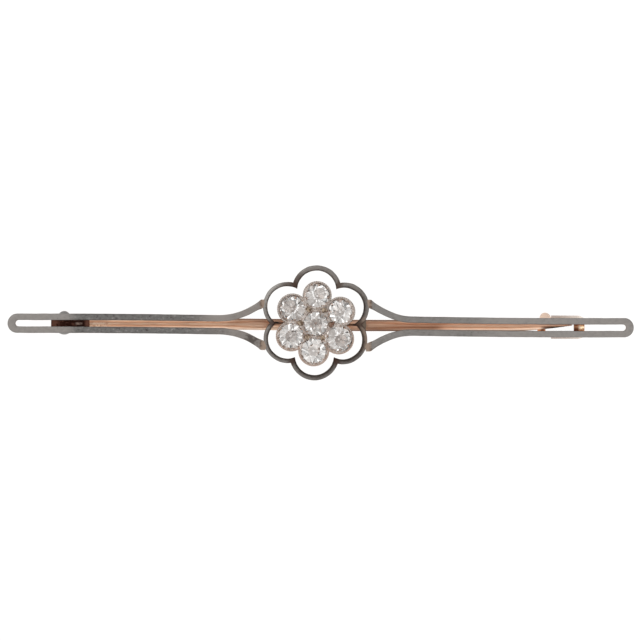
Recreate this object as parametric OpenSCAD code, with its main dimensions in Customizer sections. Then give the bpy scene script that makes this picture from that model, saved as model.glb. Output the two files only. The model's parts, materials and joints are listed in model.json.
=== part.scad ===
// Bar brooch: two slotted bars, a six-lobed openwork flower and a cluster of seven old-cut stones.
// The brooch lies on its back. +X runs to its right end, +Y is up in the front view, and +Z points
// out of its front. The origin is on the surface that it lies on, under the middle of its outline.

/* [Bars] */
// From the flower's centre to the left end
reach_left = 32; // [28:0.5:40]
// From the flower's centre to the right end
reach_right = 33; // [29:0.5:40]
// Width of a bar, across both of its rails
bar_w = 2.01; // [1.8:0.01:2.6]
// Width of the slot between the two rails
slot_w = 0.66; // [0.5:0.01:0.7]
// Wall that closes the slot at the bar's round end
end_wall = 0.82; // [0.6:0.02:1.4]
// Depth of the bars and of the flower's frame, from back to front
bar_d = 1.25; // [0.9:0.05:2]
// Length of the stretch in which the rails flare apart, beside the flower
flare_run = 4.75; // [4.4:0.05:5]
// Radius of the flare's outer edge
flare_r = 6.9; // [6.6:0.1:7.6]

/* [Flower] */
// How far the flower's centre lies above the middle line of the bars
flower_lift = 0.17; // [0:0.01:0.25]
// Turn of the hand-made flower about its own centre, in degrees
flower_turn = -1.2; // [-2:0.1:2]
// Width of the lobes' wire, seen from the front
wire_w = 0.52; // [0.4:0.02:0.7]
// Clear gap between a collet and the lobe round it
petal_gap = 0.45; // [0.35:0.01:0.6]
// How far a lobe's centre lies outside the centre of its stone
petal_shift = 0.54; // [0.45:0.01:0.65]
// Width of the two struts that carry the cluster
strut_w = 0.22; // [0.16:0.02:0.4]
// Depth of the two struts
strut_d = 0.75; // [0.5:0.05:0.9]
// Length of the three-cornered web that fills the notch between the two lobes at the right strut
web_l = 1.15; // [0.9:0.05:1.3]

/* [Stones] */
// Diameter of the centre stone
stone_d = 2.62; // [2.4:0.01:2.9]
// Metal left between the centre stone and an outer stone of the same size
stone_space = 0.24; // [0.2:0.01:0.4]
// Table width, as a share of the stone's diameter
table_share = 0.5; // [0.44:0.01:0.58]
// Crown height, as a share of the stone's diameter
crown_share = 0.17; // [0.14:0.01:0.2]
// Girdle thickness, as a share of the stone's diameter
girdle_share = 0.03; // [0.02:0.005:0.04]
// Pavilion depth, as a share of the stone's diameter
pavilion_share = 0.43; // [0.4:0.01:0.46]
// Culet width, as a share of the stone's diameter
culet_share = 0.08; // [0.05:0.01:0.1]
// Metal round a stone, seen from the front
collet_w = 0.27; // [0.24:0.01:0.4]
// Clearance between a stone and its seat
seat_gap = 0.02; // [0.01:0.005:0.03]
// How far the rim of a collet leans in over the stone's edge
rim_lap = 0.07; // [0.05:0.01:0.1]
// Height of the rim above the stone's girdle
rim_h = 0.17; // [0.15:0.01:0.22]
// How far the collets' open backs stand off the back of the bars
collet_lift = 0.35; // [0.2:0.05:0.6]
// How far a culet stays inside its collet's open back
culet_gap = 0.1; // [0.05:0.05:0.3]
// Radius of the small beads between the centre stone and the outer stones
bead_r = 0.27; // [0.2:0.01:0.3]

/* [Pin and hinge] */
// Diameter of the pin's stem
pin_d = 1.17; // [1:0.01:1.2]
// Length of the pin's point
point_l = 7.6; // [6:0.05:9]
// Radius of the blunt end of the point
point_r = 0.04; // [0.03:0.01:0.06]
// Sideways set of the hand-straightened pin, in degrees
pin_set = 0.29; // [0:0.01:0.3]
// From the left end of the brooch to the hinge's rivet
hinge_inset = 5.85; // [5:0.05:7]
// Radius of the hinge's barrel and of the catch's tube, on which the brooch lies
knuckle_r = 1.22; // [1.2:0.01:1.4]
// How much slimmer the barrel is at its middle than at its ends, so that it stands on both ears
waist = 0.06; // [0.04:0.01:0.1]
// Width of the pin's flat tongue, between the hinge's two ears
tongue_w = 0.72; // [0.6:0.02:0.8]
// Thickness of the tongue's neck
neck_t = 0.8; // [0.7:0.02:0.9]
// Clearance between the hinge's barrel and the pin's round stem
neck_gap = 0.12; // [0.08:0.01:0.3]
// Play beside the tongue, on each side
side_gap = 0.04; // [0.03:0.01:0.08]
// Thickness of the hinge's back plate
plate_t = 0.23; // [0.18:0.01:0.4]
// Play between the pin's stem and the back plate
plate_gap = 0.065; // [0.04:0.005:0.12]
// How far the back plate runs past the rivet, towards the left end
plate_out = 1.36; // [1.25:0.01:1.6]
// How far the back plate runs past the rivet, along the pin
plate_in = 2.64; // [2:0.02:3.4]
// Play between the tongue's round eye and the barrel's closed side
heel_gap = 0.165; // [0.12:0.005:0.2]
// Diameter of the rivet's shank
rivet_d = 0.54; // [0.46:0.01:0.6]
// Radial play of the tongue on the rivet
swing_gap = 0.03; // [0.02:0.005:0.05]
// Radial and end gap of the rivet in the two ears
rivet_gap = 0.01; // [0.005:0.005:0.02]
// Radius of the rivet's domed heads
head_r = 0.58; // [0.45:0.01:0.62]
// Height of the upper head
head_h_top = 0.36; // [0.2:0.01:0.4]
// Height of the lower head, which is hammered flatter
head_h_low = 0.18; // [0.12:0.01:0.3]

/* [Catch] */
// From the right end of the brooch to the catch's closed end
catch_inset = 5.1; // [4.5:0.05:6]
// Length of the catch, from the tip of its hook to its closed end
catch_l = 4.87; // [4.6:0.01:5.2]
// Length of the closed ring, beyond the pin's point
ring_l = 1.09; // [0.9:0.01:1.2]
// Length of the hook, along the pin
hook_l = 0.85; // [0.6:0.01:1]
// Length of the open stretch in front of the catch's side walls
mouth_l = 1.4; // [1.3:0.01:1.6]
// How far the shutter's leaf starts behind the tip of the hook
leaf_inset = 0.2; // [0.1:0.01:0.3]
// Wall of the catch's tube
tube_w = 0.18; // [0.16:0.01:0.2]
// Wall of the shutter
leaf_w = 0.17; // [0.15:0.01:0.18]
// Radial play of the shutter in the tube
turn_gap = 0.03; // [0.02:0.005:0.05]
// Play at the shutter's ends and beside its thumb tab
end_gap = 0.04; // [0.03:0.01:0.06]
// How far the point stops short of the closed ring
tip_gap = 0.18; // [0.1:0.02:0.4]
// How far the thumb tab stands out of the catch's tube
tab_out = 0.28; // [0.2:0.02:0.4]
// Thickness of the thumb tab
tab_t = 0.26; // [0.2:0.02:0.3]
// Thickness of the wall that closes the catch
cap_t = 0.14; // [0.1:0.01:0.2]

/* [Hidden] */
$fn = 96;
// Each row is one outer stone: its angle, its distance share and its size share.
ANGLE = 0;
REACH = 1;
SIZE = 2;
STONES = [
    [28, 0.99, 0.98],
    [89, 1.02, 0.95],
    [149, 1, 1.02],
    [208, 1, 1.01],
    [267, 0.98, 1.03],
    [328, 0.99, 1.02]
];
OUTER = len(STONES);
// Turn of the centre stone's facets, and of each outer stone's from the one before it, in degrees
CENTRE_TURN = 10;
NEXT_TURN = 37;
// The lobes of the flower's frame: how many, and the angle of the first and from one to the next
LOBES = 6;
LOBE_STEP = 360 / LOBES;
LOBE_START = LOBE_STEP / 2;

// How far a cut runs past the metal that it cuts
past = 1;
// Depth by which soldered pieces run into each other
joint = 0.05;
origin_x = (reach_right - reach_left) / 2;

rail_w = (bar_w - slot_w) / 2;
pin_r = pin_d / 2;
axis_z = knuckle_r;
plate_z = axis_z + pin_r + plate_gap;
back_z = plate_z + plate_t;
front_z = back_z + bar_d;

hinge_x = -reach_left + hinge_inset;
ear_in = tongue_w / 2 + side_gap;
ear_out = bar_w / 2 - joint;
barrel_shut = pin_r + heel_gap;

catch_x1 = reach_right - catch_inset;
catch_x0 = catch_x1 - catch_l;
ring_x = catch_x1 - ring_l;
wall_x = catch_x0 + mouth_l;
leaf_x0 = catch_x0 + leaf_inset;
tip_x = ring_x - tip_gap;
tube_in = knuckle_r - tube_w;
leaf_out = tube_in - turn_gap;
leaf_in = leaf_out - leaf_w;

// How much wider than the bar's slot the window in front of the catch is, on each side
window_lap = 0.12;
// Places in the catch's cross-section, from its axis: half of the window in front, the hook's edge,
// the edge and the upper side of the arm that holds it, and the edge of the lip inside the ring
window_y = slot_w / 2 + window_lap;
hook_y = -0.22;
arm_y = -0.42;
arm_z = -0.72;
lip_y = -0.58;
// Angles at which the shutter's leaf and the tube's upper wall end, seen along the pin
LEAF_LOW = -20;
LEAF_HIGH = 50;
WALL_LOW = -25;

ring_reach = stone_d + stone_space;
collet_z = back_z + collet_lift;
girdle_z = collet_z + culet_gap + stone_d * (pavilion_share + girdle_share / 2);
rim_z = girdle_z + stone_d * girdle_share / 2 + rim_h;
collet_foot = 0.33;
collet_neck = 0.3;
seat_slope = 1.1;
seat_relief = 0.05;
back_hole_share = 0.69;

lobe_reach = ring_reach + petal_shift;
lobe_in = stone_d / 2 + collet_w + petal_gap;
lobe_out = lobe_in + wire_w;
solder_lap = 0.15;
flare_tip = lobe_reach * cos(LOBE_START) + lobe_out - solder_lap;
flare_x = flare_tip + flare_run;
flare_y = bar_w / 2 + flare_r;
// How far the struts lie below the front of the flower's frame
strut_drop = 0.15;
strut_z = front_z - strut_d - strut_drop;
strut_in = ring_reach * cos(LOBE_START);
// Where two neighbouring lobes meet, inside the frame
cusp_reach = lobe_reach * cos(LOBE_START) + sqrt(pow(lobe_in, 2) - pow(lobe_reach * sin(LOBE_START), 2));
strut_end = cusp_reach + joint;

BAR_COLOUR = [0.53, 0.52, 0.5];
PIN_COLOUR = [0.72, 0.58, 0.49];
RIVET_COLOUR = [0.6, 0.6, 0.58];
CATCH_COLOUR = [0.75, 0.55, 0.4];
STONE_COLOUR = [0.9, 0.92, 0.94];

function turned(reach, angle) = [reach * cos(angle), reach * sin(angle)];
function stone_place(i) = turned(ring_reach * STONES[i - 1][REACH], STONES[i - 1][ANGLE]);
function stone_size(i) = stone_d * STONES[i - 1][SIZE];
function lobe_place(k) = turned(lobe_reach, LOBE_START + LOBE_STEP * k);

// Puts its children where the flower's centre is, with the flower's turn.
module at_flower() {
    translate([0, flower_lift, 0]) rotate(flower_turn) children();
}

// A cylinder along X, from x0 to x1, about the axis of the pin and the catch.
module along_x(x0, x1, r) {
    translate([x0, 0, axis_z]) rotate([0, 90, 0]) cylinder(h = x1 - x0, r = r);
}

// A cylinder along Y, from y0 to y1, about the hinge's axis.
module along_y(y0, y1, r) {
    translate([hinge_x, y0, axis_z]) rotate([-90, 0, 0]) cylinder(h = y1 - y0, r = r);
}

// A box between two corners.
module box(low, high) {
    translate(low) cube(high - low);
}

// The outline of one hairpin-shaped bar, from its flare's tip to its round end at reach.
module bar_plan(reach) {
    end_x = reach - bar_w / 2;
    slot_x = reach - end_wall - slot_w / 2;
    difference() {
        union() {
            translate([flare_x, -bar_w / 2]) square([end_x - flare_x, bar_w]);
            translate([end_x, 0]) circle(d = bar_w);
        }
        translate([flare_x - past, -slot_w / 2]) square([slot_x - flare_x + past, slot_w]);
        translate([slot_x, 0]) circle(d = slot_w);
    }
    for (side = [0, 1]) mirror([0, side]) intersection() {
        translate([flare_x, flare_y]) difference() {
            circle(r = flare_r + rail_w, $fn = 256);
            circle(r = flare_r, $fn = 256);
        }
        translate([flare_tip, 0]) square([flare_run + joint, flare_y]);
    }
}

// The six open lobes of the flower's frame.
module flower_plan() {
    difference() {
        for (k = [0:LOBES - 1]) translate(lobe_place(k)) circle(r = lobe_out);
        for (k = [0:LOBES - 1]) translate(lobe_place(k)) circle(r = lobe_in);
        circle(r = lobe_reach);
    }
}

// The outside of one collet, before its seat is cut.
module collet(d) {
    r = d / 2 + collet_w;
    neck_z = rim_z - collet_neck;
    translate([0, 0, collet_z]) cylinder(h = neck_z - collet_z, r1 = r - collet_foot, r2 = r);
    translate([0, 0, neck_z]) cylinder(h = collet_neck, r = r);
}

// The hollow that takes a stone of diameter d, open at the back and lapped by the rim in front.
module seat(d) {
    r = d / 2 + seat_gap;
    hole = d / 2 * back_hole_share;
    lap = d / 2 - rim_lap;
    edge = d * girdle_share / 2;
    slope = d * pavilion_share / (d / 2 - d * culet_share / 2);
    translate([0, 0, girdle_z]) rotate_extrude() polygon([
        [0, collet_z - girdle_z - past],
        [hole, collet_z - girdle_z - past],
        [hole, -edge - seat_relief - (r - hole) * slope],
        [r, -edge - seat_relief],
        [r, edge + seat_gap],
        [lap, edge + seat_gap + (r - lap) * seat_slope],
        [lap, rim_z - girdle_z + past],
        [0, rim_z - girdle_z + past]
    ]);
}

// The small bead and its post that fill the gap between three collets.
module bead(angle) {
    translate(turned(ring_reach / sqrt(3), angle)) {
        translate([0, 0, rim_z - collet_neck]) cylinder(h = collet_neck, r = bead_r);
        translate([0, 0, rim_z]) sphere(r = bead_r);
    }
}

// A strut from the flower's frame to the cluster, lying along +X.
module strut() {
    box([strut_in, -strut_w / 2, strut_z], [strut_end, strut_w / 2, strut_z + strut_d]);
}

// The three-cornered web that fills the notch outside the right strut's foot.
module web() {
    translate([cusp_reach, 0, strut_z]) linear_extrude(strut_d)
        polygon([[0, 0], [web_l, -web_l / 2], [web_l, web_l / 2]]);
}

// The cluster of seven collets with its beads and its two struts.
module setting() {
    difference() {
        union() {
            collet(stone_d);
            for (i = [1:OUTER]) translate(stone_place(i)) collet(stone_size(i));
            for (k = [0:LOBES - 1]) bead(STONES[0][ANGLE] - LOBE_START + LOBE_STEP * k);
            strut();
            rotate(180) strut();
            web();
        }
        seat(stone_d);
        for (i = [1:OUTER]) translate(stone_place(i)) seat(stone_size(i));
    }
}

// The hinge's barrel, slightly waisted.
module barrel() {
    translate([hinge_x, 0, axis_z]) rotate([-90, 0, 0]) rotate_extrude() polygon([
        [0, -ear_out],
        [knuckle_r, -ear_out],
        [knuckle_r - waist, 0],
        [knuckle_r, ear_out],
        [0, ear_out]
    ]);
}

// The hinge's barrel and back plate, slotted for the pin's tongue.
module hinge() {
    difference() {
        union() {
            barrel();
            box(
                [hinge_x - plate_out, -ear_out, plate_z],
                [hinge_x + plate_in, ear_out, back_z + joint]
            );
        }
        box(
            [hinge_x - barrel_shut, -ear_in, -past],
            [hinge_x + knuckle_r + past, ear_in, plate_z]
        );
        along_y(-bar_w, bar_w, rivet_d / 2 + rivet_gap);
    }
}

// The catch's tube: a closed ring at its far end, two side walls, and a hook behind the pin.
module catch_tube() {
    far = knuckle_r + past;
    difference() {
        along_x(catch_x0, catch_x1, knuckle_r);
        along_x(catch_x0 - past, catch_x1 - cap_t, tube_in);
        box([catch_x0 - past, -window_y, axis_z], [ring_x, window_y, axis_z + far]);
        box([wall_x, arm_y, axis_z - far], [ring_x, tube_in * cos(WALL_LOW), axis_z]);
        box([catch_x0 - past, hook_y, axis_z - far], [wall_x, far, axis_z + far]);
        box([catch_x0 - past, -far, axis_z + arm_z], [wall_x, far, axis_z + far]);
        box([catch_x0 + hook_l, arm_y, axis_z - far], [wall_x, far, axis_z]);
    }
    intersection() {
        difference() {
            along_x(ring_x, ring_x + cap_t, tube_in + joint);
            along_x(ring_x - past, ring_x + past, leaf_in);
        }
        box([ring_x, -far, axis_z - far], [ring_x + cap_t, lip_y, axis_z + far]);
    }
}

// All the soldered metal in one solid: bars, flower, setting, hinge and the catch's tube.
module bar_frame() {
    color(BAR_COLOUR) difference() {
        union() {
            translate([0, 0, back_z]) linear_extrude(bar_d) {
                bar_plan(reach_right);
                mirror([1, 0]) bar_plan(reach_left);
                at_flower() flower_plan();
            }
            at_flower() setting();
            hinge();
            catch_tube();
        }
        along_x(ring_x + cap_t, catch_x1 - cap_t, tube_in);
    }
}

// The pin: an eye on the rivet, a flat neck, a round stem and a long point.
module pin_stem() {
    stem_x = knuckle_r + neck_gap;
    point_x = tip_x - hinge_x - point_l;
    stations = 12;
    color(PIN_COLOUR) difference() {
        union() {
            along_y(-tongue_w / 2, tongue_w / 2, pin_r);
            box(
                [hinge_x, -tongue_w / 2, axis_z - neck_t / 2],
                [hinge_x + stem_x + joint, tongue_w / 2, axis_z + neck_t / 2]
            );
            translate([hinge_x, 0, axis_z]) rotate([0, 90, pin_set]) {
                translate([0, 0, stem_x]) cylinder(h = point_x - stem_x, r = pin_r);
                translate([0, 0, point_x]) rotate_extrude() polygon(concat(
                    [[0, 0]],
                    [for (k = [0:stations]) [
                        point_r + (pin_r - point_r) * (1 - pow(k / stations, 2)),
                        point_l * k / stations
                    ]],
                    [[0, point_l]]
                ));
            }
        }
        along_y(-tongue_w, tongue_w, rivet_d / 2 + swing_gap);
    }
}

// A domed head with its flat face at y = 0 and its dome towards +Y.
module rivet_head(h) {
    dome_r = (head_r * head_r + h * h) / (2 * h);
    intersection() {
        translate([0, h - dome_r, 0]) sphere(r = dome_r);
        box([-head_r - past, 0, -head_r - past], [head_r + past, h + past, head_r + past]);
    }
}

// The rivet that carries the pin, with a tall upper head and a flat lower one.
module hinge_rivet() {
    seat_y = ear_out + rivet_gap;
    color(RIVET_COLOUR) {
        along_y(-seat_y - joint, seat_y + joint, rivet_d / 2);
        translate([hinge_x, seat_y, axis_z]) rivet_head(head_h_top);
        translate([hinge_x, -seat_y, axis_z]) mirror([0, 1, 0]) rivet_head(head_h_low);
    }
}

// The turning shutter: a ring that runs in the catch's tube, a curved leaf and a thumb tab.
module catch_shutter() {
    ring_x0 = ring_x + cap_t + end_gap;
    ring_x1 = catch_x1 - cap_t - end_gap;
    tab_x1 = wall_x - end_gap;
    tab_r = (tab_x1 - leaf_x0) / 2;
    reach = knuckle_r + tab_out - tab_r;
    color(CATCH_COLOUR) {
        difference() {
            along_x(leaf_x0, ring_x1, leaf_out);
            along_x(leaf_x0 - past, ring_x1 + past, leaf_in);
            translate([leaf_x0 - past, 0, axis_z])
                rotate([90, 0, 90]) linear_extrude(ring_x0 - leaf_x0 + past) outside_leaf();
        }
        difference() {
            translate([leaf_x0 + tab_r, reach, axis_z - tab_t / 2]) cylinder(h = tab_t, r = tab_r);
            along_x(leaf_x0 - past, wall_x + past, leaf_in + joint);
        }
    }
}

// The part of the catch's cross-section that the leaf leaves free.
module outside_leaf() {
    far = 3 * knuckle_r;
    span = 360 - LEAF_HIGH + LEAF_LOW;
    polygon(concat([[0, 0]], [for (k = [0:6]) turned(far, LEAF_HIGH + span * k / 6)]));
}

// One old-cut stone of diameter d: table, star, kite and girdle facets, pavilion and open culet.
module cut_stone(d) {
    girdle_r = d / 2;
    table_r = d * table_share / 2;
    culet_r = d * culet_share / 2;
    edge = d * girdle_share / 2;
    crown_z = edge + d * crown_share;
    culet_z = -edge - d * pavilion_share;
    star_share = 0.5;
    lower_share = 0.62;
    star_z = crown_z + (edge - crown_z) * star_share;
    lower_z = -edge + (culet_z + edge) * lower_share;
    star_r = (table_r + (girdle_r - table_r) * star_share) / cos(22.5);
    lower_r = (girdle_r + (culet_r - girdle_r) * lower_share) / cos(22.5);
    points = concat(
        ring_of(8, table_r, 0, crown_z),
        ring_of(8, star_r, 22.5, star_z),
        ring_of(16, girdle_r, 0, edge),
        ring_of(16, girdle_r, 0, -edge),
        ring_of(8, lower_r, 22.5, lower_z),
        ring_of(8, culet_r / cos(22.5), 22.5, culet_z)
    );
    // Number of the first point of each ring above
    table = 0;
    star = 8;
    top = 16;
    low = 32;
    lower = 48;
    culet = 56;
    faces = concat(
        [[for (k = [7:-1:0]) table + k]],
        [for (k = [0:7]) [table + k, table + next(k, 8), star + k]],
        [for (k = [0:7]) [table + k, star + k, top + 2 * k, star + next(k, 8, -1)]],
        [for (k = [0:7]) [star + k, top + 2 * k + 1, top + 2 * k]],
        [for (k = [0:7]) [star + k, top + next(2 * k + 1, 16), top + 2 * k + 1]],
        [for (k = [0:15]) [top + k, top + next(k, 16), low + next(k, 16), low + k]],
        [for (k = [0:7]) [lower + k, low + 2 * k, low + 2 * k + 1]],
        [for (k = [0:7]) [lower + k, low + 2 * k + 1, low + next(2 * k + 1, 16)]],
        [for (k = [0:7]) let (back = next(k, 8, -1))
            [culet + back, lower + back, low + 2 * k, lower + k, culet + k]],
        [[for (k = [0:7]) culet + k]]
    );
    polyhedron(points = points, faces = faces);
}

// A level ring of n points.
function ring_of(n, r, start, z) = [for (k = [0:n - 1]) concat(turned(r, start + 360 / n * k), [z])];

// The number after k, or before it, round a ring of n.
function next(k, n, step = 1) = (k + step + n) % n;

// A stone at its place in the cluster; the table faces the front.
module placed_stone(place, d, turn) {
    color(STONE_COLOUR) at_flower() translate([place[0], place[1], girdle_z]) rotate(turn) cut_stone(d);
}

// Moves the flower's centre off the origin, so that the whole outline is centred on it.
module centred() {
    translate([-origin_x, -flower_lift, 0]) children();
}

centred() bar_frame();
centred() pin_stem();
centred() hinge_rivet();
centred() catch_shutter();
centred() placed_stone([0, 0], stone_d, CENTRE_TURN);  // stone_centre
for (i = [1:OUTER]) {
    centred() placed_stone(stone_place(i), stone_size(i), NEXT_TURN * i);
}
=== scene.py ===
"""Bar brooch: two slotted bars, a six-lobed openwork flower and a cluster of seven old-cut stones.

The file is laid out as an add-on. Each operator makes one piece of the brooch, or a group of like
pieces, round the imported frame. +X runs to the catch's end, +Y is up in the front view, and +Z points
out of the front.
"""

import json
import math

import bmesh
import bpy
from bpy.props import FloatProperty, FloatVectorProperty, IntProperty, PointerProperty
from bpy.types import Operator, Panel, PropertyGroup
from mathutils import Matrix, Vector, noise


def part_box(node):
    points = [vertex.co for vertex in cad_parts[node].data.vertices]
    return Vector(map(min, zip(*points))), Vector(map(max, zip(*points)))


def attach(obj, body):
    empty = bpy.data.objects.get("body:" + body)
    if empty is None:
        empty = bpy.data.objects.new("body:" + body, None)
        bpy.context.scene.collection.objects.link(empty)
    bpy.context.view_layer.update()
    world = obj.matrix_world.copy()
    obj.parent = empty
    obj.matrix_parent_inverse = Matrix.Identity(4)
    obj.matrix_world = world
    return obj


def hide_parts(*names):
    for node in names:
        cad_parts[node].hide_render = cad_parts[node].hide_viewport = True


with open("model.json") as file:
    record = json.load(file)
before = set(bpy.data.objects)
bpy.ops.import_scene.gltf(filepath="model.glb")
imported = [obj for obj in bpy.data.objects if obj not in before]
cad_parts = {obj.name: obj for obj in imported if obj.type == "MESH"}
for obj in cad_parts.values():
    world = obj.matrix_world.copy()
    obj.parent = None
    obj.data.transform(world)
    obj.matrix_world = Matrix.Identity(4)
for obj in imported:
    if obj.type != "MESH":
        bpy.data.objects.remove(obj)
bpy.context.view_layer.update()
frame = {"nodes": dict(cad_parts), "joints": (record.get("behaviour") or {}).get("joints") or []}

bl_info = {
    "name": "Bar brooch",
    "version": (1, 0, 0),
    "blender": (4, 5, 0),
    "location": "View3D > Sidebar > Brooch",
    "description": "Makes a slotted bar brooch with an openwork flower and a cluster of old-cut stones",
    "category": "Add Mesh",
}

MM = 0.001

# What the frame gives: the two joints' places, the brooch's ends and the stones
JOINT_AT = {joint["name"]: Vector(joint["pos_m"]) for joint in frame["joints"]}
HINGE = JOINT_AT["pin_swing"]
CATCH = JOINT_AT["catch_turn"]
FRAME_LOW, FRAME_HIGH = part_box("bar_frame")
OUTER_STONES = sorted(name for name in frame["nodes"] if name.startswith("stone_") and name[-1].isdigit())
STONES = ["stone_centre"] + OUTER_STONES
LOBES = 6
# How the hand-bent lobes differ from the true ones, in millimetres, anticlockwise from the upper right
LOBE_HAND = (
    {"right": -0.05, "up": 0.10, "inner": -0.01, "outer": 0.03},
    {"right": -0.01, "up": 0.10, "inner": 0.00, "outer": 0.02},
    {"right": -0.05, "up": 0.02, "inner": 0.06, "outer": -0.01},
    {"right": 0.05, "up": 0.03, "inner": -0.01, "outer": -0.06},
    {"right": -0.06, "up": 0.09, "inner": -0.01, "outer": 0.01},
    {"right": -0.11, "up": 0.12, "inner": -0.01, "outer": 0.00},
)
# How each flare differs from the true one near the flower, in millimetres: how much higher it runs, and
# how much thicker it is on its inner side
RAIL_HAND = {
    "upper_left": {"higher": 0.05, "thicker": 0.00},
    "lower_left": {"higher": 0.00, "thicker": 0.12},
    "upper_right": {"higher": 0.12, "thicker": 0.00},
    "lower_right": {"higher": -0.07, "thicker": 0.05},
}
# How far the middle of each bar bows up, in millimetres
BAR_BOW = {"left": 0.055, "right": -0.065}
# Where the noise is read that moves a hand-filed edge to the right, and where the one that moves it up
UNEVEN_DRAWS = (Vector((4.3, 9.1, 0.5)), Vector((23.7, 2.9, 6.4)))
# Where each stone's table lies off its middle, in millimetres, how the stone sits in its collet, tilted
# by so many degrees about that direction, and how much painted shade greys its table
STONE_HAND = (
    {"right": 0.05, "up": -0.05, "tilt": 2.5, "about": 30, "grey": 1.00},
    {"right": -0.15, "up": 0.15, "tilt": 3.5, "about": 110, "grey": 0.65},
    {"right": 0.30, "up": 0.20, "tilt": 3.0, "about": 250, "grey": 0.75},
    {"right": -0.25, "up": 0.30, "tilt": 3.5, "about": 330, "grey": 1.00},
    {"right": 0.05, "up": 0.00, "tilt": 4.0, "about": 70, "grey": 0.85},
    {"right": 0.05, "up": 0.05, "tilt": 2.0, "about": 190, "grey": 0.45},
    {"right": 0.30, "up": -0.10, "tilt": 4.0, "about": 300, "grey": 1.00},
)
# Two burnt spots, in millimetres right of and above the flower's middle: on the lower left flare, and at
# the cusp left of the upper lobe
BURNT_FLARE = (-6.6, -1.75)
BURNT_CUSP = (-2.3, 4.1)
# The soft lamps, in metres
SOFTBOXES = {
    "upper_left_softbox": {"place": (-0.28, 0.3, 0.34), "width": 0.22, "depth": 0.22, "glow": 1.2},
    "right_softbox": {"place": (0.42, -0.05, 0.2), "width": 0.16, "depth": 0.24, "glow": 1.6},
}
# Where the lens stands over the surface, in millimetres from the frame's origin
LENS_OVER = (-0.077, 0.397)


def stone_place(name):
    """The middle of a stone's girdle seen from the front, and the stone's diameter."""
    low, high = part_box(name)
    middle = (low + high) / 2
    reach = max((vertex.co.xy - middle.xy).length for vertex in frame["nodes"][name].data.vertices)
    return Vector((middle.x, middle.y, high.z)), 2 * reach


FLOWER, CENTRE_WIDTH = stone_place("stone_centre")


# Properties


def length(name, description, millimetres):
    """A length, given in millimetres and kept in metres."""
    return FloatProperty(name=name, description=description, default=millimetres * MM, min=0,
                         precision=5, unit="LENGTH", subtype="DISTANCE")


def angle(name, description, degrees):
    """An angle, given in degrees and kept in radians."""
    return FloatProperty(name=name, description=description, default=math.radians(degrees),
                         unit="ROTATION", subtype="ANGLE")


def share(name, description, value):
    """A share of another size."""
    return FloatProperty(name=name, description=description, default=value, min=0, max=1,
                         subtype="FACTOR")


def colour(name, description, value):
    """A linear colour."""
    return FloatVectorProperty(name=name, description=description, default=value, min=0, max=1,
                               size=3, subtype="COLOR")


class BarSizes(PropertyGroup):
    """The two slotted bars."""

    width: length("Width", "Width of a bar, across both of its rails", 2.01)
    slot: length("Slot", "Width of the slot between the rails", 0.66)
    end_wall: length("End wall", "Metal that closes the slot at the round end", 0.82)
    depth: length("Depth", "Depth of the bars, from back to front", 1.25)
    front: length("Front", "Height of the bars' front above the surface", 3.35)
    flare_run: length("Flare run", "Length of the stretch in which the rails flare apart", 4.75)
    flare_radius: length("Flare radius", "Radius of the flare's outer edge", 6.9)
    edge: length("Edge", "Rounding of the front edges", 0.07)
    back_edge: length("Back edge", "Rounding of the back edges", 0.06)
    crown: length("Crown", "How far the front is domed across a rail", 0.02)
    white_layer: length("White layer", "Thickness of the white metal on the gold", 0.42)
    seam: length("Seam", "Depth of the seam between the two layers", 0.02)
    solder: length("Solder", "How much the solder thickens a rail's tip, inside the slot", 0.2)
    solder_out: length("Solder, outside", "How much the solder thickens a rail's tip, outside", 0.05)
    solder_run: length("Solder run", "Length of the soldered tip", 1.0)
    solder_lap: length("Solder lap", "How far a rail's tip laps the lobe's side", 0.15)
    tip_lap: length("Tip", "From the lobe's outermost point back to the rail's very tip", 0.3)
    tip_height: length("Tip height", "From the bars' middle line to the soldered tips' outer side", 2.6)
    hand_from: length("Hand from", "Where the hand-made difference begins, before the straight", 0.8)
    hand_run: length("Hand run", "Length over which it grows", 2.5)
    wobble: length("Wobble", "Unevenness of the hand-filed edges", 0.014)


class FlowerSizes(PropertyGroup):
    """The flower's frame, its struts and its web."""

    wire: length("Wire", "Width of the lobes' wire, seen from the front", 0.52)
    gap: length("Gap", "Clear gap between a collet and the lobe round it", 0.45)
    shift: length("Shift", "How far a lobe's centre lies outside the centre of its stone", 0.54)
    reach: length("Reach", "From the flower's centre to the centres of its stones", 2.86)
    proud: length("Proud", "How far the wire stands proud of the bars", 0.03)
    edge: length("Edge", "Rounding of the wire's front edges", 0.15)
    crown: length("Crown", "How far the front is domed across the wire", 0.03)
    wobble: length("Wobble", "Unevenness of the hand-bent wire", 0.0224)
    turn: angle("Turn", "Turn of the hand-made flower", -1.2)
    strut: length("Strut", "Width of the two struts", 0.22)
    strut_depth: length("Strut depth", "Depth of the two struts", 0.75)
    strut_drop: length("Strut drop", "How far the struts lie below the flower's front", 0.15)
    web: length("Web", "Length of the three-cornered web on the right strut", 1.15)


class SettingSizes(PropertyGroup):
    """The seven collets, the small beads between them and the millegrain on their rims."""

    metal: length("Metal", "Metal round a stone, seen from the front", 0.27)
    play: length("Play", "Clearance between a stone and its seat", 0.02)
    lap: length("Lap", "How far a rim leans in over its stone", 0.03)
    bright_cut: length("Bright cut", "Width of the rim's bright slope down to the stone", 0.13)
    rim: length("Rim", "Height of the rim above the girdle", 0.17)
    neck: length("Neck", "Height of the collet's straight top", 0.3)
    foot: length("Foot", "How much slimmer a collet is at its back", 0.33)
    lift: length("Lift", "From the back of the bars to the collets' open backs", 0.35)
    bead: length("Bead", "Radius of the beads between the stones", 0.3)
    grain: length("Grain", "Radius of one grain of the millegrain", 0.095)
    pitch: length("Pitch", "From one grain to the next", 0.21)
    grain_out: length("Row", "From a stone's edge out to its row of grains", 0.17)


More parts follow.
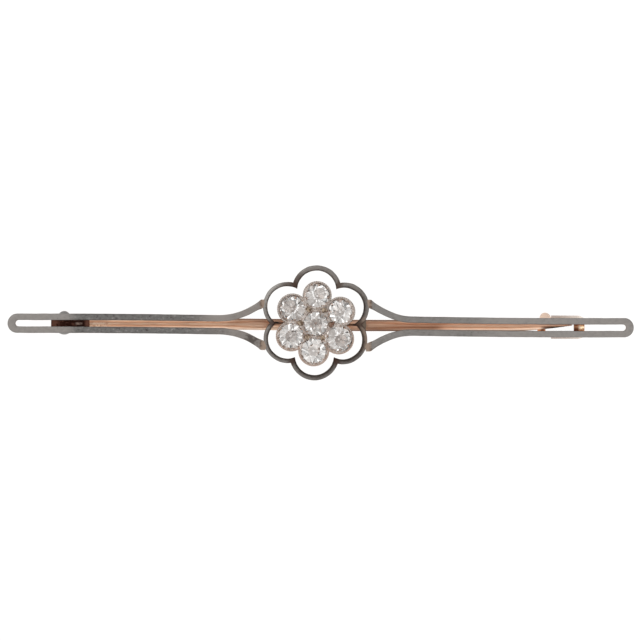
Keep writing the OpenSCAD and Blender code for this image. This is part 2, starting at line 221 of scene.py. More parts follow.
class StoneCut(PropertyGroup):
    """The cut of the stones, as shares of their diameter."""

    table: share("Table", "Width of the table", 0.5)
    crown: share("Crown", "Height of the crown", 0.17)
    girdle: share("Girdle", "Thickness of the girdle", 0.03)
    pavilion: share("Pavilion", "Depth of the pavilion", 0.43)
    culet: share("Culet", "Width of the open culet", 0.09)
    low_halves: angle("Low halves", "How much steeper the lower half facets are", 11)
    high_halves: angle("High halves", "How much steeper the upper half facets are", 14)
    hand: share("Hand", "Unevenness of the hand-cut facets", 0.02)


class PinSizes(PropertyGroup):
    """The pin: eye, neck, stem and point."""

    stem: length("Stem", "Diameter of the stem", 1.17)
    tongue: length("Tongue", "Width of the flat tongue between the ears", 0.72)
    neck: length("Neck", "Thickness of the tongue's neck", 0.8)
    bore: length("Bore", "Diameter of the eye's bore", 0.6)
    shoulder: length("Shoulder", "From the rivet to the start of the round stem", 1.36)
    forging: length("Forging", "Length over which the flat neck turns round", 0.7)
    point: length("Point", "Length of the point", 7.6)
    tip: length("Tip", "Radius of the blunt tip", 0.04)
    set: angle("Set", "Sideways set of the hand-straightened pin", 0.29)
    edge: length("Edge", "Rounding of the eye's edges", 0.06)
    bow: length("Bow", "How far the hand-straightened stem bows to one side", 0.13)
    bow_from: length("Bow from", "From the rivet to where the bow begins", 14)
    bow_rise: length("Bow's rise", "Length over which the bow begins", 19)
    bow_to: length("Bow to", "From the rivet to where the bow would have ended", 57.4)
    bow_fall: length("Bow's fall", "Length over which the bow lessens", 12)


class HingeSizes(PropertyGroup):
    """The hinge's barrel and back plate."""

    knuckle: length("Knuckle", "Radius of the barrel and of the catch's tube", 1.22)
    waist: length("Waist", "How much slimmer the barrel is at its middle", 0.06)
    ear: length("Ear", "Half of the barrel's length", 0.955)
    tongue_room: length("Room", "Half of the slot for the pin's tongue", 0.4)
    shut: length("Shut", "From the rivet to the barrel's closed side", 0.75)
    plate: length("Plate", "Thickness of the back plate", 0.23)
    plate_out: length("Plate, out", "How far the plate runs towards the brooch's end", 1.36)
    plate_in: length("Plate, in", "How far the plate runs along the pin", 2.64)
    rivet: length("Rivet", "Diameter of the rivet's hole", 0.56)
    edge: length("Edge", "Rounding of the barrel's and the plate's edges", 0.05)


class CatchSizes(PropertyGroup):
    """The catch's tube, with its hook, window and closed ring."""

    inset: length("Inset", "From the brooch's end to the catch's closed end", 5.1)
    length: length("Length", "From the hook's tip to the closed end", 4.87)
    ring: length("Ring", "Length of the closed ring", 1.09)
    hook: length("Hook", "Length of the hook along the pin", 0.85)
    mouth: length("Mouth", "Open stretch in front of the side walls", 1.4)
    wall: length("Wall", "Wall of the tube", 0.18)
    cap: length("Cap", "Thickness of the wall that closes the tube", 0.14)
    window: length("Window", "Half of the window in front", 0.45)
    hook_edge: length("Hook edge", "From the axis to the hook's edge", 0.22)
    arm_edge: length("Arm edge", "From the axis to the arm's edge", 0.42)
    arm_top: length("Arm top", "From the axis down to the arm's upper side", 0.72)
    lip_edge: length("Lip edge", "From the axis to the edge of the lip inside the ring", 0.58)
    lip_inner: length("Lip radius", "Inner radius of the lip", 0.84)
    wall_low: angle("Wall end", "Where the upper wall ends, below the axis", 25)
    dome: length("Dome", "Length of the sloped stretch at the closed end", 0.62)
    dome_drop: length("Dome's drop", "How much slimmer the tube is at its closed end", 0.3)


class Colours(PropertyGroup):
    """Linear base colours of the metals."""

    white: colour("White metal", "Satin white metal", (0.365, 0.347, 0.334))
    worn: colour("Worn white metal", "White metal, dulled and scratched", (0.202, 0.199, 0.194))
    fleck: colour("Flecks", "Bright scratches in dull metal", (0.5, 0.485, 0.47))
    warm_white: colour("Warm white metal", "White metal near the flower", (0.37, 0.32, 0.29))
    wire: colour("Flower wire", "Greyer light patches of the flower's wire", (0.27, 0.25, 0.235))
    # Painted light on the upper left lobe of the wire
    wire_painted_light: colour("Light wire", "The lightest lobe of the flower's wire", (0.36, 0.345, 0.325))
    # Used as tarnish, and also as painted shade on the rails' edges and on the wire's lower right and
    # outer edge
    wire_dark: colour("Dark wire", "Brown-black tarnish of the flower's wire", (0.034, 0.024, 0.02))
    cusp: colour("Cusps", "Brown tarnish where two lobes meet", (0.058, 0.03, 0.022))
    strut: colour("Struts", "Brown metal of the struts", (0.15, 0.085, 0.055))
    web: colour("Web", "Brown-grey solder outside the right cusp", (0.19, 0.15, 0.12))
    edge_tint: colour("Edge tint", "How much of the floor the metals' sides mirror", (0.5, 0.48, 0.46))
    pin_tint: colour("Pin's edge tint", "How much of the floor the pin's sides mirror", (0.2, 0.14, 0.11))
    gold: colour("Rose gold", "Clean rose gold", (0.84, 0.56, 0.41))
    # Also painted as a dark reflection along the pin's middle
    gold_dark: colour("Dull gold", "Rose gold, dulled", (0.42, 0.24, 0.155))
    pale_gold: colour("Pale gold", "Rose gold towards the pin's point", (1.0, 0.75, 0.58))
    gold_light: colour("Light gold", "Light rose gold of the pin's first half", (1.0, 0.77, 0.6))
    # Painted glints on the hammer blows of the pin's shoulder
    shoulder_glint: colour("Shoulder", "Hammered bright gold where the stem begins", (1.0, 0.89, 0.76))
    # Painted shade along the pin's sides, on the lower side of its right half and at its point
    pin_shade: colour("Pin's edges", "Brown-grey dullness along the pin", (0.17, 0.1, 0.072))
    solder: colour("Solder", "Pinkish brown solder", (0.4, 0.31, 0.25))
    # Reddish black: tarnish, and painted shade where the slot frames the hinge
    tarnish_and_shade: colour("Tarnish", "Reddish black tarnish in the slot", (0.03, 0.011, 0.008))
    rust: colour("Rust", "Reddish brown patches on the tarnish", (0.2, 0.1, 0.075))
    scrape: colour("Scrape", "Bare metal of a scrape on the hinge's plate", (0.42, 0.33, 0.29))
    rivet: colour("Rivet", "Grey metal of the rivet's heads", (0.24, 0.23, 0.22))
    tab: colour("Tab", "Pale worn gold of the thumb tab", (1.0, 0.93, 0.88))
    tab_dull: colour("Tab, dull", "Duller patches of the thumb tab", (0.86, 0.76, 0.69))
    catch: colour("Catch", "Worn rose gold of the catch", (0.86, 0.77, 0.69))
    catch_dull: colour("Catch, dull", "Greyish pink patches of the catch", (0.64, 0.55, 0.48))
    # Painted shade on the ring, the pin's painted shadow on the hook, and painted shade in the hollows
    catch_shade: colour("Catch, brown", "Brown hollows of the catch", (0.13, 0.045, 0.02))
    # Painted highlight on the catch's domed closed end
    gold_highlight: colour("Bright gold", "Polished gold of the catch's end", (1.0, 0.76, 0.5))
    # Painted half-shade on the ring and on the hook behind the pin
    gold_half_shade: colour("Orange gold", "Gold of the hook behind the pin", (0.75, 0.35, 0.16))
    collet: colour("Collet", "Worn metal of the rims, under the grains", (0.38, 0.33, 0.29))
    # Painted highlight: the grains are painted paler than the rims they stand on
    grain: colour("Grain", "Pale tops of the grains", (0.6, 0.54, 0.5))
    # Painted highlight, on the bright-cut slopes round the stones and on the rails' walls
    painted_glint: colour("Glint", "Bright slopes round the stones", (0.74, 0.7, 0.67))
    collet_rosy: colour("Collet, rosy", "Rosy gold of the lower rims", (0.58, 0.42, 0.34))
    collet_brown: colour("Collet, brown", "Brown wear in the rims", (0.38, 0.3, 0.25))
    bead: colour("Bead", "Olive-brown beads", (0.42, 0.34, 0.26))
    bead_dark: colour("Bead, dark", "Darker patches on the beads", (0.16, 0.1, 0.07))
    stone: colour("Stone", "Clear stone", (0.97, 0.975, 0.98))
    stone_warm: colour("Stone, warm", "Warmer clear stone", (1.0, 0.985, 0.965))
    # Painted shade in a stone's table
    stone_table_shade: colour("Table", "Greyed table of a worn stone", (0.36, 0.31, 0.285))
    floor: colour("Floor", "Pale floor", (0.36, 0.36, 0.36))
    floor_milk: colour("Floor's milk", "Whiter clouds in the floor's milky glass", (0.39, 0.39, 0.39))


class Studio(PropertyGroup):
    """Camera, floor and lights."""

    distance: length("Distance", "From the camera to the bars' front", 1500)
    view_width: length("View width", "Width of the view at the bars' front", 66.41)
    sensor: length("Sensor", "Width of the camera's sensor", 36)
    roll: angle("Roll", "Turn of the brooch in the view", 0.41)
    floor: length("Floor", "Half of the floor's width", 2600)
    floor_drop: length("Floor drop", "From the brooch's back down to the floor", 0.02)
    floor_glow: FloatProperty(name="Floor glow", description="Light of the floor itself", default=0.76)
    floor_milk: FloatProperty(name="Milk", description="How milky the floor's glass is", default=0.3)
    box_glow: FloatProperty(name="Box glow", description="Light of the box below the glass", default=1.06)
    side_glow: FloatProperty(name="Sides", description="Light from the tent's sides", default=1.18)
    top_glow: FloatProperty(name="Top", description="Light from the tent's top", default=0.74)
    low_glow: FloatProperty(name="Low", description="Light from the tent's foot", default=0.28)


class BroochSettings(PropertyGroup):
    """Everything that a user would change."""

    bars: PointerProperty(type=BarSizes)
    flower: PointerProperty(type=FlowerSizes)
    setting: PointerProperty(type=SettingSizes)
    cut: PointerProperty(type=StoneCut)
    pin: PointerProperty(type=PinSizes)
    hinge: PointerProperty(type=HingeSizes)
    catch: PointerProperty(type=CatchSizes)
    colours: PointerProperty(type=Colours)
    studio: PointerProperty(type=Studio)
    seed: IntProperty(name="Seed", description="Start of the hand-made unevenness", default=7, min=0)


# Shader maths


class Wire:
    """A shader socket. Python's operators on it add the Math nodes that they stand for."""

    def __init__(self, shade, socket):
        self.shade = shade
        self.socket = socket

    def math(self, operation, *values):
        return self.shade.node("ShaderNodeMath", {"operation": operation}, values)

    def __add__(self, other):
        return self.math("ADD", self, other)

    def __sub__(self, other):
        return self.math("SUBTRACT", self, other)

    def __rsub__(self, other):
        return self.math("SUBTRACT", other, self)

    def __mul__(self, other):
        return self.math("MULTIPLY", self, other)

    def __abs__(self):
        return self.math("ABSOLUTE", self)

    __radd__ = __add__
    __rmul__ = __mul__

    def most(self, other):
        """The greater of the two."""
        return self.math("MAXIMUM", self, other)

    def rise(self, low, high):
        """Runs smoothly from 0 at low to 1 at high, or down where low is the greater."""
        return self.shade.node("ShaderNodeMapRange", {"interpolation_type": "SMOOTHSTEP"},
                               {"Value": self, "From Min": low, "From Max": high})

    def between(self, low, low_full, high_full, high):
        """1 from low_full to high_full, falling smoothly to 0 at low and at high."""
        return self.rise(low, low_full) * self.rise(high, high_full)


class Shade:
    """The nodes of one material or of the world. Places in it are in millimetres."""

    def __init__(self, owner):
        owner.use_nodes = True
        self.nodes = owner.node_tree.nodes
        self.links = owner.node_tree.links
        self.nodes.clear()

    def node(self, kind, settings=None, sockets=None, out=0):
        """A node with its settings, then the values or links of its sockets."""
        made = self.nodes.new(kind)
        for name, value in (settings or {}).items():
            setattr(made, name, value)
        pairs = sockets.items() if isinstance(sockets, dict) else enumerate(sockets or ())
        for key, value in pairs:
            if isinstance(value, Wire):
                self.links.new(value.socket, made.inputs[key])
            else:
                made.inputs[key].default_value = value
        return Wire(self, made.outputs[out]) if len(made.outputs) else made

    def place(self, stretch=(1, 1, 1)):
        """The place on the piece, in millimetres, stretched along each axis."""
        spot = self.node("ShaderNodeTexCoord", out="Object")
        scale = tuple(factor / MM for factor in stretch)
        return self.node("ShaderNodeVectorMath", {"operation": "MULTIPLY"}, [spot, scale])

    def parts(self, vector):
        """A vector's three numbers."""
        split = self.node("ShaderNodeSeparateXYZ", None, [vector])
        return [Wire(self, socket) for socket in split.socket.node.outputs]

    def axes(self, about=(0, 0, 0)):
        """The place's three numbers, measured from a point of the frame."""
        found = zip(self.parts(self.place()), about)
        return [axis - start / MM if start else axis for axis, start in found]

    def noise(self, scale, detail=3, stretch=(1, 1, 1), rough=0.55):
        """Cloudy noise from 0 to 1, with its scale in features per millimetre."""
        return self.node("ShaderNodeTexNoise", None, {
            "Vector": self.place(stretch), "Scale": scale, "Detail": detail, "Roughness": rough})

    def cells(self, scale):
        """Distance to the nearest of scattered points."""
        return self.node("ShaderNodeTexVoronoi", None, {"Vector": self.place(), "Scale": scale})

    def mix(self, factor, first, second):
        """first where the factor is 0 and second where it is 1."""
        values = {0: factor, 6: solid(first), 7: solid(second)}
        return self.node("ShaderNodeMix", {"data_type": "RGBA"}, values, out=2)

    def coats(self, tone, *layers):
        """A colour under layers of others, each a pair: how much it covers, and its colour."""
        for cover, layer in layers:
            tone = self.mix(cover, tone, layer)
        return tone

    def mark(self, name):
        """A number that the mesh carries at each of its points."""
        return self.node("ShaderNodeAttribute", {"attribute_name": name}, out="Fac")

    def edges(self):
        """1 on convex edges, 0 in hollows, about a half on flat metal."""
        return self.node("ShaderNodeNewGeometry", out="Pointiness")

    def surface(self, colour_wire, roughness, height=None, relief=0.01, **constants):
        """The shader itself. The relief is the height of the bumps, in millimetres."""
        sockets = {"Base Color": colour_wire if isinstance(colour_wire, Wire) else solid(colour_wire),
                   "Roughness": roughness}
        if height is not None:
            sockets["Normal"] = self.node("ShaderNodeBump", None, {
                "Strength": 1.0, "Distance": relief * MM, "Height": height})
        for name, value in constants.items():
            sockets[name.replace("_", " ")] = value if isinstance(value, float) else solid(value)
        shader = self.node("ShaderNodeBsdfPrincipled", None, sockets)
        self.node("ShaderNodeOutputMaterial", None, {"Surface": shader})


def solid(value):
    """A colour with full alpha; links pass unchanged."""
    return value if isinstance(value, Wire) else (*value[:3], 1.0)


# Finishes


def round_spot(right, up, at, full, end, fray=0.0):
    """1 in the middle of a round spot and 0 outside it. full and end are squares of the distance."""
    aside, above = right - at[0], up - at[1]
    return (aside * aside + above * above + fray).rise(end, full)


def white_metal(shade, colours):
    """Satin white metal with dull scratched stretches, on a layer of rose gold. Both edges of each rail
    carry painted shade, and the walls just below the front carry a painted highlight.
    """
    sizes = bpy.context.scene.brooch.bars
    front, seam_at = sizes.front / MM, (sizes.front - sizes.white_layer) / MM
    x, y, z = shade.axes()
    right, up, _ = shade.axes(FLOWER)
    across, along = shade.mark("across"), shade.mark("along")
    clouds = shade.noise(0.55, 5)
    mottle = shade.noise(2.6, 4, (1, 1.4, 1))
    flecks = shade.noise(4.6, 4, (0.7, 1, 1), rough=0.7)
    scratches = shade.noise(3.2, 2, (0.35, 4, 4), rough=0.7)
    hairs = shade.noise(6, 2, (0.25, 5, 5), rough=0.7)
    lower_rail = (y - HINGE.y / MM).rise(0.1, -0.1)
    dull_left = x.rise(-27.0, -24.6) * (x - lower_rail * 2.6).rise(-9.5, -14.5)
    dull_right = x.between(6.5, 9.0, 14.0, 21.0) * 0.5
    by_flower = abs(right).rise(10.5, 8.0) * 0.45
    dull = dull_left.most(dull_right).most(by_flower) + (clouds - 0.5) * 0.5
    harsh = dull.rise(0.25, 0.9)
    # Painted shade along both edges of each rail
    rims = across.rise(0.16, 0.03).most(across.rise(0.84, 0.97))
    joint = along + (mottle - 0.5) * 0.3
    burnt = round_spot(right, up, BURNT_FLARE, 0.0, 0.85, (mottle - 0.5) * 2.6)
    gold_tone = shade.mix(clouds.rise(0.3, 0.75) * 0.4 + mottle.rise(0.35, 0.8) * 0.2, colours.gold,
                          colours.gold_dark)
    tone = shade.coats(
        colours.white,
        (dull.rise(0.05, 0.95), colours.worn),
        (mottle.rise(0.4, 0.75) * 0.3, colours.worn),
        (flecks.rise(0.52, 0.75) * (0.14 + harsh * 0.5), colours.fleck),
        (flecks.rise(0.47, 0.3) * (0.12 + harsh * 0.55), colours.wire_dark),
        (scratches.rise(0.64, 0.74) * (0.08 + harsh * 0.5), colours.fleck),
        (shade.cells(1.7).rise(0.16, 0.02) * 0.4, colours.wire_dark),
        (rims * (0.35 + harsh * 0.3), colours.wire_dark),
        (x.between(-15.0, -10.0, -3.0, 0.0) * 0.3, colours.warm_white),
        (joint.rise(0.75, 0.45), colours.solder),
        (abs(joint - 0.55).rise(0.2, 0.05) * flecks.rise(0.4, 0.6) * 0.6, colours.cusp),
        (burnt * 0.65, colours.wire_dark),
        # Painted highlight on the rails' walls just below the front
        (z.rise(front - 0.03, front - 0.12) * 0.75, colours.painted_glint),
        ((z + (flecks - 0.5) * 0.03).rise(seam_at + 0.02, seam_at - 0.02), gold_tone))
    rough = 0.34 + hairs * 0.16 + harsh * 0.1
    relief = hairs * 0.5 + flecks * (0.3 + harsh * 0.7)
    shade.surface(tone, rough, relief, 0.014, Metallic=1.0, Specular_Tint=colours.edge_tint)


def dark_wire(shade, colours):
    """Tarnished wire of the flower's frame: grey outside, brown-black inside and at its cusps. Painted
    shade darkens it towards the lower right and along its outer edge, and painted light brightens the
    upper left lobe.
    """
    front = bpy.context.scene.brooch.bars.front / MM
    z = shade.axes()[2]
    right, up, _ = shade.axes(FLOWER)
    across, along = shade.mark("across"), shade.mark("along")
    clouds = shade.noise(0.7, 4)
    mottle = shade.noise(3.5, 4)
    # Painted shade, growing towards the lower right and broken up by clouds
    shadow = right * 0.06 - up * 0.09 + (clouds - 0.5) * 0.9
    # Painted light on the upper left lobe, as if lit from the upper left
    painted_light_lobe = right.rise(-1.5, -4.5) * up.rise(0.5, 3.0)
    brown_side = right.rise(2.5, 4.5) * abs(up + 1).rise(2.2, 1.2)
    inner = (across + (mottle - 0.5) * 0.5 + shadow * 0.3).rise(0.35, 0.95)
    cusp_tone = shade.mix(up.rise(-1.5, 2.5) * 0.35, colours.cusp, colours.web)
    tone = shade.coats(
        colours.wire,
        (painted_light_lobe * 0.9, colours.wire_painted_light),
        (brown_side * 0.9, colours.solder),
        # Painted shade towards the lower right; then darker towards the inner side, with that painted
        # shade mixed in
        (shadow.rise(-0.4, 0.8) * 0.42, colours.wire_dark),
        (inner * 0.84, colours.wire_dark),
        # Painted shade along the outer edge
        (across.rise(0.14, 0.02) * 0.5, colours.wire_dark),
        (along.rise(0.78, 0.95) * 0.82, cusp_tone),
        (round_spot(right, up, BURNT_CUSP, 0.4, 3.0) * 0.6, colours.cusp),
        (mottle.rise(0.52, 0.8) * 0.35, colours.wire_dark),
        (z.rise(front - 0.12, front - 0.24), colours.wire_dark),
        (z.rise(front - 0.5, front - 0.56), colours.gold_dark))
    shade.surface(tone, 0.3 + mottle * 0.25, shade.noise(11, 3) + mottle, 0.014, Metallic=1.0,
                  Specular_Tint=colours.edge_tint)


def strut_metal(shade, colours):
    """Brown struts, and the web: near black at the cusp and brown-grey outside it."""
    along = shade.mark("along")
    mottle = shade.noise(3.5, 4)
    tone = shade.coats(
        colours.strut,
        (along.rise(-0.35, -0.05), colours.wire_dark),
        ((along + (mottle - 0.5) * 0.5).rise(0.35, 0.85), colours.web),
        (mottle.rise(0.55, 0.8) * 0.4, colours.wire_dark))
    shade.surface(tone, 0.32 + mottle * 0.2, shade.noise(11, 3) + mottle, 0.014, Metallic=1.0)


def pin_gold(shade, colours):
    """Drawn rose gold with long faint drawing lines, brown-grey painted shade along its sides and at its
    point, a painted dark reflection along its middle beside the flower, and painted glints on its hammered
    shoulder.
    """
    x = shade.axes()[0]
    high = shade.axes(HINGE)[2]
    across = shade.mark("across")
    lines = shade.noise(7, 3, (0.06, 1, 1), rough=0.6)
    clouds = shade.noise(0.5, 5, (0.6, 1, 1))
    grain = shade.noise(13, 3, (0.5, 1, 1))
    hammered = shade.noise(3.4, 3)
    beside = abs(shade.axes(FLOWER)[0]).rise(9.5, 8.0)
    left_half = x.rise(1.0, -2.0)
    right_half = x.between(3.0, 6.0, 11.5, 13.5)
    # Painted dark reflection along the middle of the pin beside the flower
    middle = abs(across + (clouds - 0.5) * 0.2).rise(0.26, 0.08) * beside
    shoulder = x.between(-24.3, -23.7, -22.6, -21.5)
    # The hammer blows that face up, where the glints are painted
    blows = hammered.rise(0.3, 0.62) * across.rise(0.5, 0.0) * high.rise(0.05, 0.3)
    # Painted shade on the lower side of the point
    point = x.rise(22.6, 23.4) * across.rise(-0.12, -0.24)
    # Painted shade along both sides of the pin, less on the lower side of the left half
    edge_shade = across.rise(0.6, 0.85).most(across.rise(-0.6, -0.85) * (1 - left_half * 0.8))
    tone = shade.coats(
        colours.gold_light,
        (x.rise(-8.5, -6.0), colours.gold),
        # Lighter on the lower side of the left half, beside the flower
        (beside * left_half * across.rise(-0.1, -0.3), colours.gold_light),
        (lines.rise(0.35, 0.75) * 0.3, colours.gold_dark),
        (clouds.rise(0.45, 0.75) * 0.3, colours.gold_dark),
        (right_half * 0.3, colours.gold_dark),
        # Painted dark reflection along the middle; then darker on the upper side of the left half, beside
        # the flower
        (middle * 0.5, colours.gold_dark),
        (across.rise(0.0, 0.25) * left_half * beside * 0.5, colours.gold_dark),
        # Painted shade on the lower side of the right half
        (across.rise(0.0, -0.4) * right_half * 0.5, colours.pin_shade),
        (x.rise(12.0, 15.0) * 0.9, colours.pale_gold),
        # The shoulder: darker, with painted glints on its hammer blows, which are real in the relief
        (shoulder * (1 - blows) * 0.5, colours.gold_dark),
        (shoulder * blows, colours.shoulder_glint),
        ((edge_shade * 0.8).most(point), colours.pin_shade))
    rough = 0.32 + clouds * 0.1 + lines * 0.06 + shoulder * 0.1
    relief = lines + grain * 0.3 + shoulder * hammered * 0.5
    shade.surface(tone, rough, relief, 0.014, Metallic=1.0, Specular_Tint=colours.pin_tint)


def hinge_metal(shade, colours):
    """Rose gold at the back; reddish black tarnish with painted shade over it where the slot frames the
    hinge's plate.
    """
    sizes = bpy.context.scene.brooch
    plate_low = (sizes.bars.front - sizes.bars.depth - sizes.hinge.plate) / MM
    z = shade.axes()[2]
    from_rivet, up, _ = shade.axes(HINGE)
    mottle = shade.noise(3, 4)
    streak = shade.noise(2.6, 3, (0.7, 1.6, 1))
    # Tarnish and painted shade where the slot frames the hinge's plate
    in_slot = z.rise(plate_low + 0.05, plate_low + 0.2) * abs(up).rise(0.5, 0.34)
    scrape = abs(from_rivet - 1.55).rise(0.45, 0.2) * abs(up - 0.02).rise(0.2, 0.04)
    gold_tone = shade.mix(mottle.rise(0.35, 0.8) * 0.45, colours.gold, colours.gold_dark)
    dark_tone = shade.coats(
        colours.tarnish_and_shade,
        (streak.rise(0.5, 0.68) * 0.5, colours.rust),
        (from_rivet.rise(-0.2, -0.9) * mottle.rise(0.35, 0.55) * 0.75, colours.rust),
        (scrape * streak.rise(0.3, 0.6), colours.scrape),
        (from_rivet.rise(2.0, 2.4) * 0.8, colours.rust))
    tone = shade.mix(in_slot, gold_tone, dark_tone)
    shade.surface(tone, 0.28 + mottle * 0.2, shade.noise(12, 3) + mottle, 0.015, Metallic=1.0)


def catch_gold(shade, colours):
    """Rose gold of the catch: greyish pink where it is worn, with painted shade in its hollows, across its
    ring and on the hook behind the pin, and a painted highlight at its closed end.
    """
    closed = (FRAME_HIGH.x - bpy.context.scene.brooch.catch.inset) / MM
    x = shade.axes()[0]
    _, up, high = shade.axes(CATCH)
    mottle = shade.noise(2.2, 4)
    hairs = shade.noise(7, 2, (0.3, 4, 4))
    middle = abs(up).rise(0.7, 0.35)
    # A band across the ring with painted half-shade, and painted shade on its lower side
    brown = x.between(closed - 1.25, closed - 1.0, closed - 0.7, closed - 0.55) * middle
    hook = x.rise(24.0, 23.5) * up.rise(-0.1, -0.2)
    tone = shade.coats(
        colours.catch,
        (high.rise(0.4, -0.3), colours.gold),
        (mottle.rise(0.3, 0.75) * 0.5, colours.catch_dull),
        # Painted highlight on the domed closed end
        (x.rise(closed - 0.7, closed - 0.35) * middle, colours.gold_highlight),
        (brown * 0.8, colours.gold_half_shade),
        (brown * up.rise(0.1, -0.15) * 0.85, colours.catch_shade),
        # Painted half-shade on the hook, then the pin's painted shadow on it
        (hook * 0.85, colours.gold_half_shade),
        (abs(x - 23.05).rise(0.28, 0.1) * hook * 0.8, colours.catch_shade),
        # Painted shade in the hollows
        (shade.edges().rise(0.49, 0.44) * 0.6, colours.catch_shade))
    shade.surface(tone, 0.2 + mottle * 0.14, hairs + shade.noise(12, 3) * 0.4, 0.005, Metallic=1.0)


def tab_gold(shade, colours):
    """Pale matt rose gold of the shutter and its thumb tab, rubbed dull."""
    mottle = shade.noise(2.6, 4)
    tone = shade.coats(
        colours.tab,
        (mottle.rise(0.3, 0.75), colours.tab_dull),
        (shade.edges().rise(0.51, 0.58) * 0.5, colours.gold_light))
    shade.surface(tone, 0.42 + mottle * 0.15, shade.noise(12, 3) + mottle, 0.01, Metallic=0.4)


def rivet_metal(shade, colours):
    """Hammered white metal, darkened by wear."""
    blows = shade.cells(2.4)
    mottle = shade.noise(3.2, 4)
    tone = shade.coats(
        colours.rivet,
        (mottle.rise(0.3, 0.75) * 0.8, colours.worn),
        (blows.rise(0.3, 0.1) * 0.3, colours.wire_dark))
    shade.surface(tone, 0.34 + mottle * 0.15, blows + shade.noise(12, 3) * 0.2, 0.03, Metallic=1.0)


def rosy_below(shade, mottle):
    """How rosy the cluster's metal is. It grows towards the flower's foot."""
    return (shade.axes(FLOWER)[1] * -0.28 + (mottle - 0.5) * 0.8).rise(-0.15, 0.6) * 0.6


def collet_metal(shade, colours):
    """Worn metal of the collets: painted glints on the slopes round the stones, and brown-grey under the
    grains.
    """
    high = bpy.context.scene.brooch.bars.front / MM + 0.1
    mottle = shade.noise(2.4, 4)
    glints = shade.noise(3.4, 3)
    # Painted glints on the bright-cut slopes, in patches between brown
    slope_tone = shade.mix(glints.rise(0.42, 0.58), colours.collet_brown, colours.painted_glint)
    tone = shade.coats(
        colours.collet,
        (rosy_below(shade, mottle), colours.collet_rosy),
        (mottle.rise(0.45, 0.75) * 0.4, colours.collet_brown),
        (shade.mark("rim").rise(0.14, 0.1), slope_tone),
        (shade.axes()[2].rise(high, high - 0.25), colours.gold))
    shade.surface(tone, 0.25 + mottle * 0.2, shade.noise(12, 3), 0.01, Metallic=1.0)


def grain_metal(shade, colours):
    """The grains of the millegrain: painted paler than the rims as a painted highlight, and rosy towards
    the flower's foot.
    """
    mottle = shade.noise(2.4, 4)
    tone = shade.coats(
        colours.grain,
        (rosy_below(shade, mottle), colours.collet_rosy),
        (mottle.rise(0.5, 0.8) * 0.5, colours.collet_brown))
    shade.surface(tone, 0.22 + mottle * 0.15, shade.noise(12, 3), 0.006, Metallic=1.0)


def bead_metal(shade, colours):
    """Olive-brown beads, with darker patches and a rusty one at the right."""
    mottle = shade.noise(3.5, 4)
    tone = shade.coats(
        colours.bead,
        (mottle.rise(0.35, 0.7), colours.bead_dark),
        (shade.axes(FLOWER)[0].rise(1.2, 1.6) * 0.7, colours.rust))
    shade.surface(tone, 0.26 + mottle * 0.15, shade.noise(12, 3), 0.01, Metallic=1.0)


def clear_stone(shade, colours):
    """Clear old-cut stone, with the faintest haze of wear on its facets and a table greyed by painted
    shade.
    """
    haze = shade.noise(3, 4)
    # Painted shade greying the table, scaled for each stone
    table_shade = shade.mark("table").rise(0.88, 0.96) * shade.mark("grey") * haze.rise(0.2, 0.5)
    tone = shade.coats(colours.stone, (haze, colours.stone_warm), (table_shade, colours.stone_table_shade))
    shade.surface(tone, haze * 0.06, None, 0, IOR=2.3, Transmission_Weight=1.0)


def pale_floor(shade, colours):
    """Milky glass over a light box: pale and glowing, and what swings below it shows through."""
    studio = bpy.context.scene.brooch.studio
    milk = shade.noise(0.4, 4)
    tone = shade.mix(milk, colours.floor, colours.floor_milk)
    shade.surface(tone, 0.9, None, 0, Alpha=studio.floor_milk, Emission_Color=(1.0, 1.0, 1.0),
                  Emission_Strength=studio.floor_glow)


def finish_of(maker):
    """The material that a finish's function makes, made on first use."""
    name = "brooch_" + maker.__name__
    found = bpy.data.materials.get(name)
    if found is None:
        found = bpy.data.materials.new(name)
        maker(Shade(found), bpy.context.scene.brooch.colours)
    return found


# Shapes


def mesh_of(name, form):
    """A mesh of the form, which is used up."""
    mesh = bpy.data.meshes.new(name)
    form.to_mesh(mesh)
    form.free()
    return mesh


def linked(name, data):
    """A new object in the scene."""
    thing = bpy.data.objects.new(name, data)
    bpy.context.scene.collection.objects.link(thing)
    return thing


def turned(radius, degrees):
    """A point at that distance and direction from the origin."""
    return Vector((radius * math.cos(math.radians(degrees)), radius * math.sin(math.radians(degrees))))


def arc(middle, radius, start, stop, steps):
    """Points along an arc, both ends included."""
    return [middle + turned(radius, start + (stop - start) * k / steps) for k in range(steps + 1)]


def loft(rings, closed=False, along=None):
    """A skin over rings of points, with a cap at each end unless the rings close on themselves.

    A point's fourth number, where it has one, is how far across the metal it lies, and along holds a
    number for each ring. The finishes read both as the attributes "across" and "along".
    """
    form = bmesh.new()
    across_mark = form.verts.layers.float.new("across")
    along_mark = form.verts.layers.float.new("along")
    rows = []
    for k, ring in enumerate(rings):
        rows.append([form.verts.new(point[:3]) for point in ring])
        for vertex, point in zip(rows[-1], ring):
            vertex[across_mark] = point[3] if len(point) > 3 else 0
            vertex[along_mark] = along[k] if along else 0
    pairs = list(zip(rows, rows[1:]))
    if closed:
        pairs.append((rows[-1], rows[0]))
    for near, far in pairs:
        for k in range(len(near)):
            after = (k + 1) % len(near)
            form.faces.new((near[k], near[after], far[after], far[k]))
    if not closed:
        form.faces.new(rows[0])
        form.faces.new(rows[-1])
    bmesh.ops.remove_doubles(form, verts=form.verts, dist=1e-4 * MM)
    bare = [edge for edge in form.edges if not edge.link_faces]
    bmesh.ops.delete(form, geom=bare, context="EDGES")
    bmesh.ops.recalc_face_normals(form, faces=form.faces)
    return form


def revolve(profile, steps=96):
    """A solid turned about Z from a closed outline of (radius, height) points."""
    rings = []
    for k in range(steps):
        spin = turned(1, 360 * k / steps)
        rings.append([Vector((spin.x * radius, spin.y * radius, height)) for radius, height in profile])
    return loft(rings, closed=True)


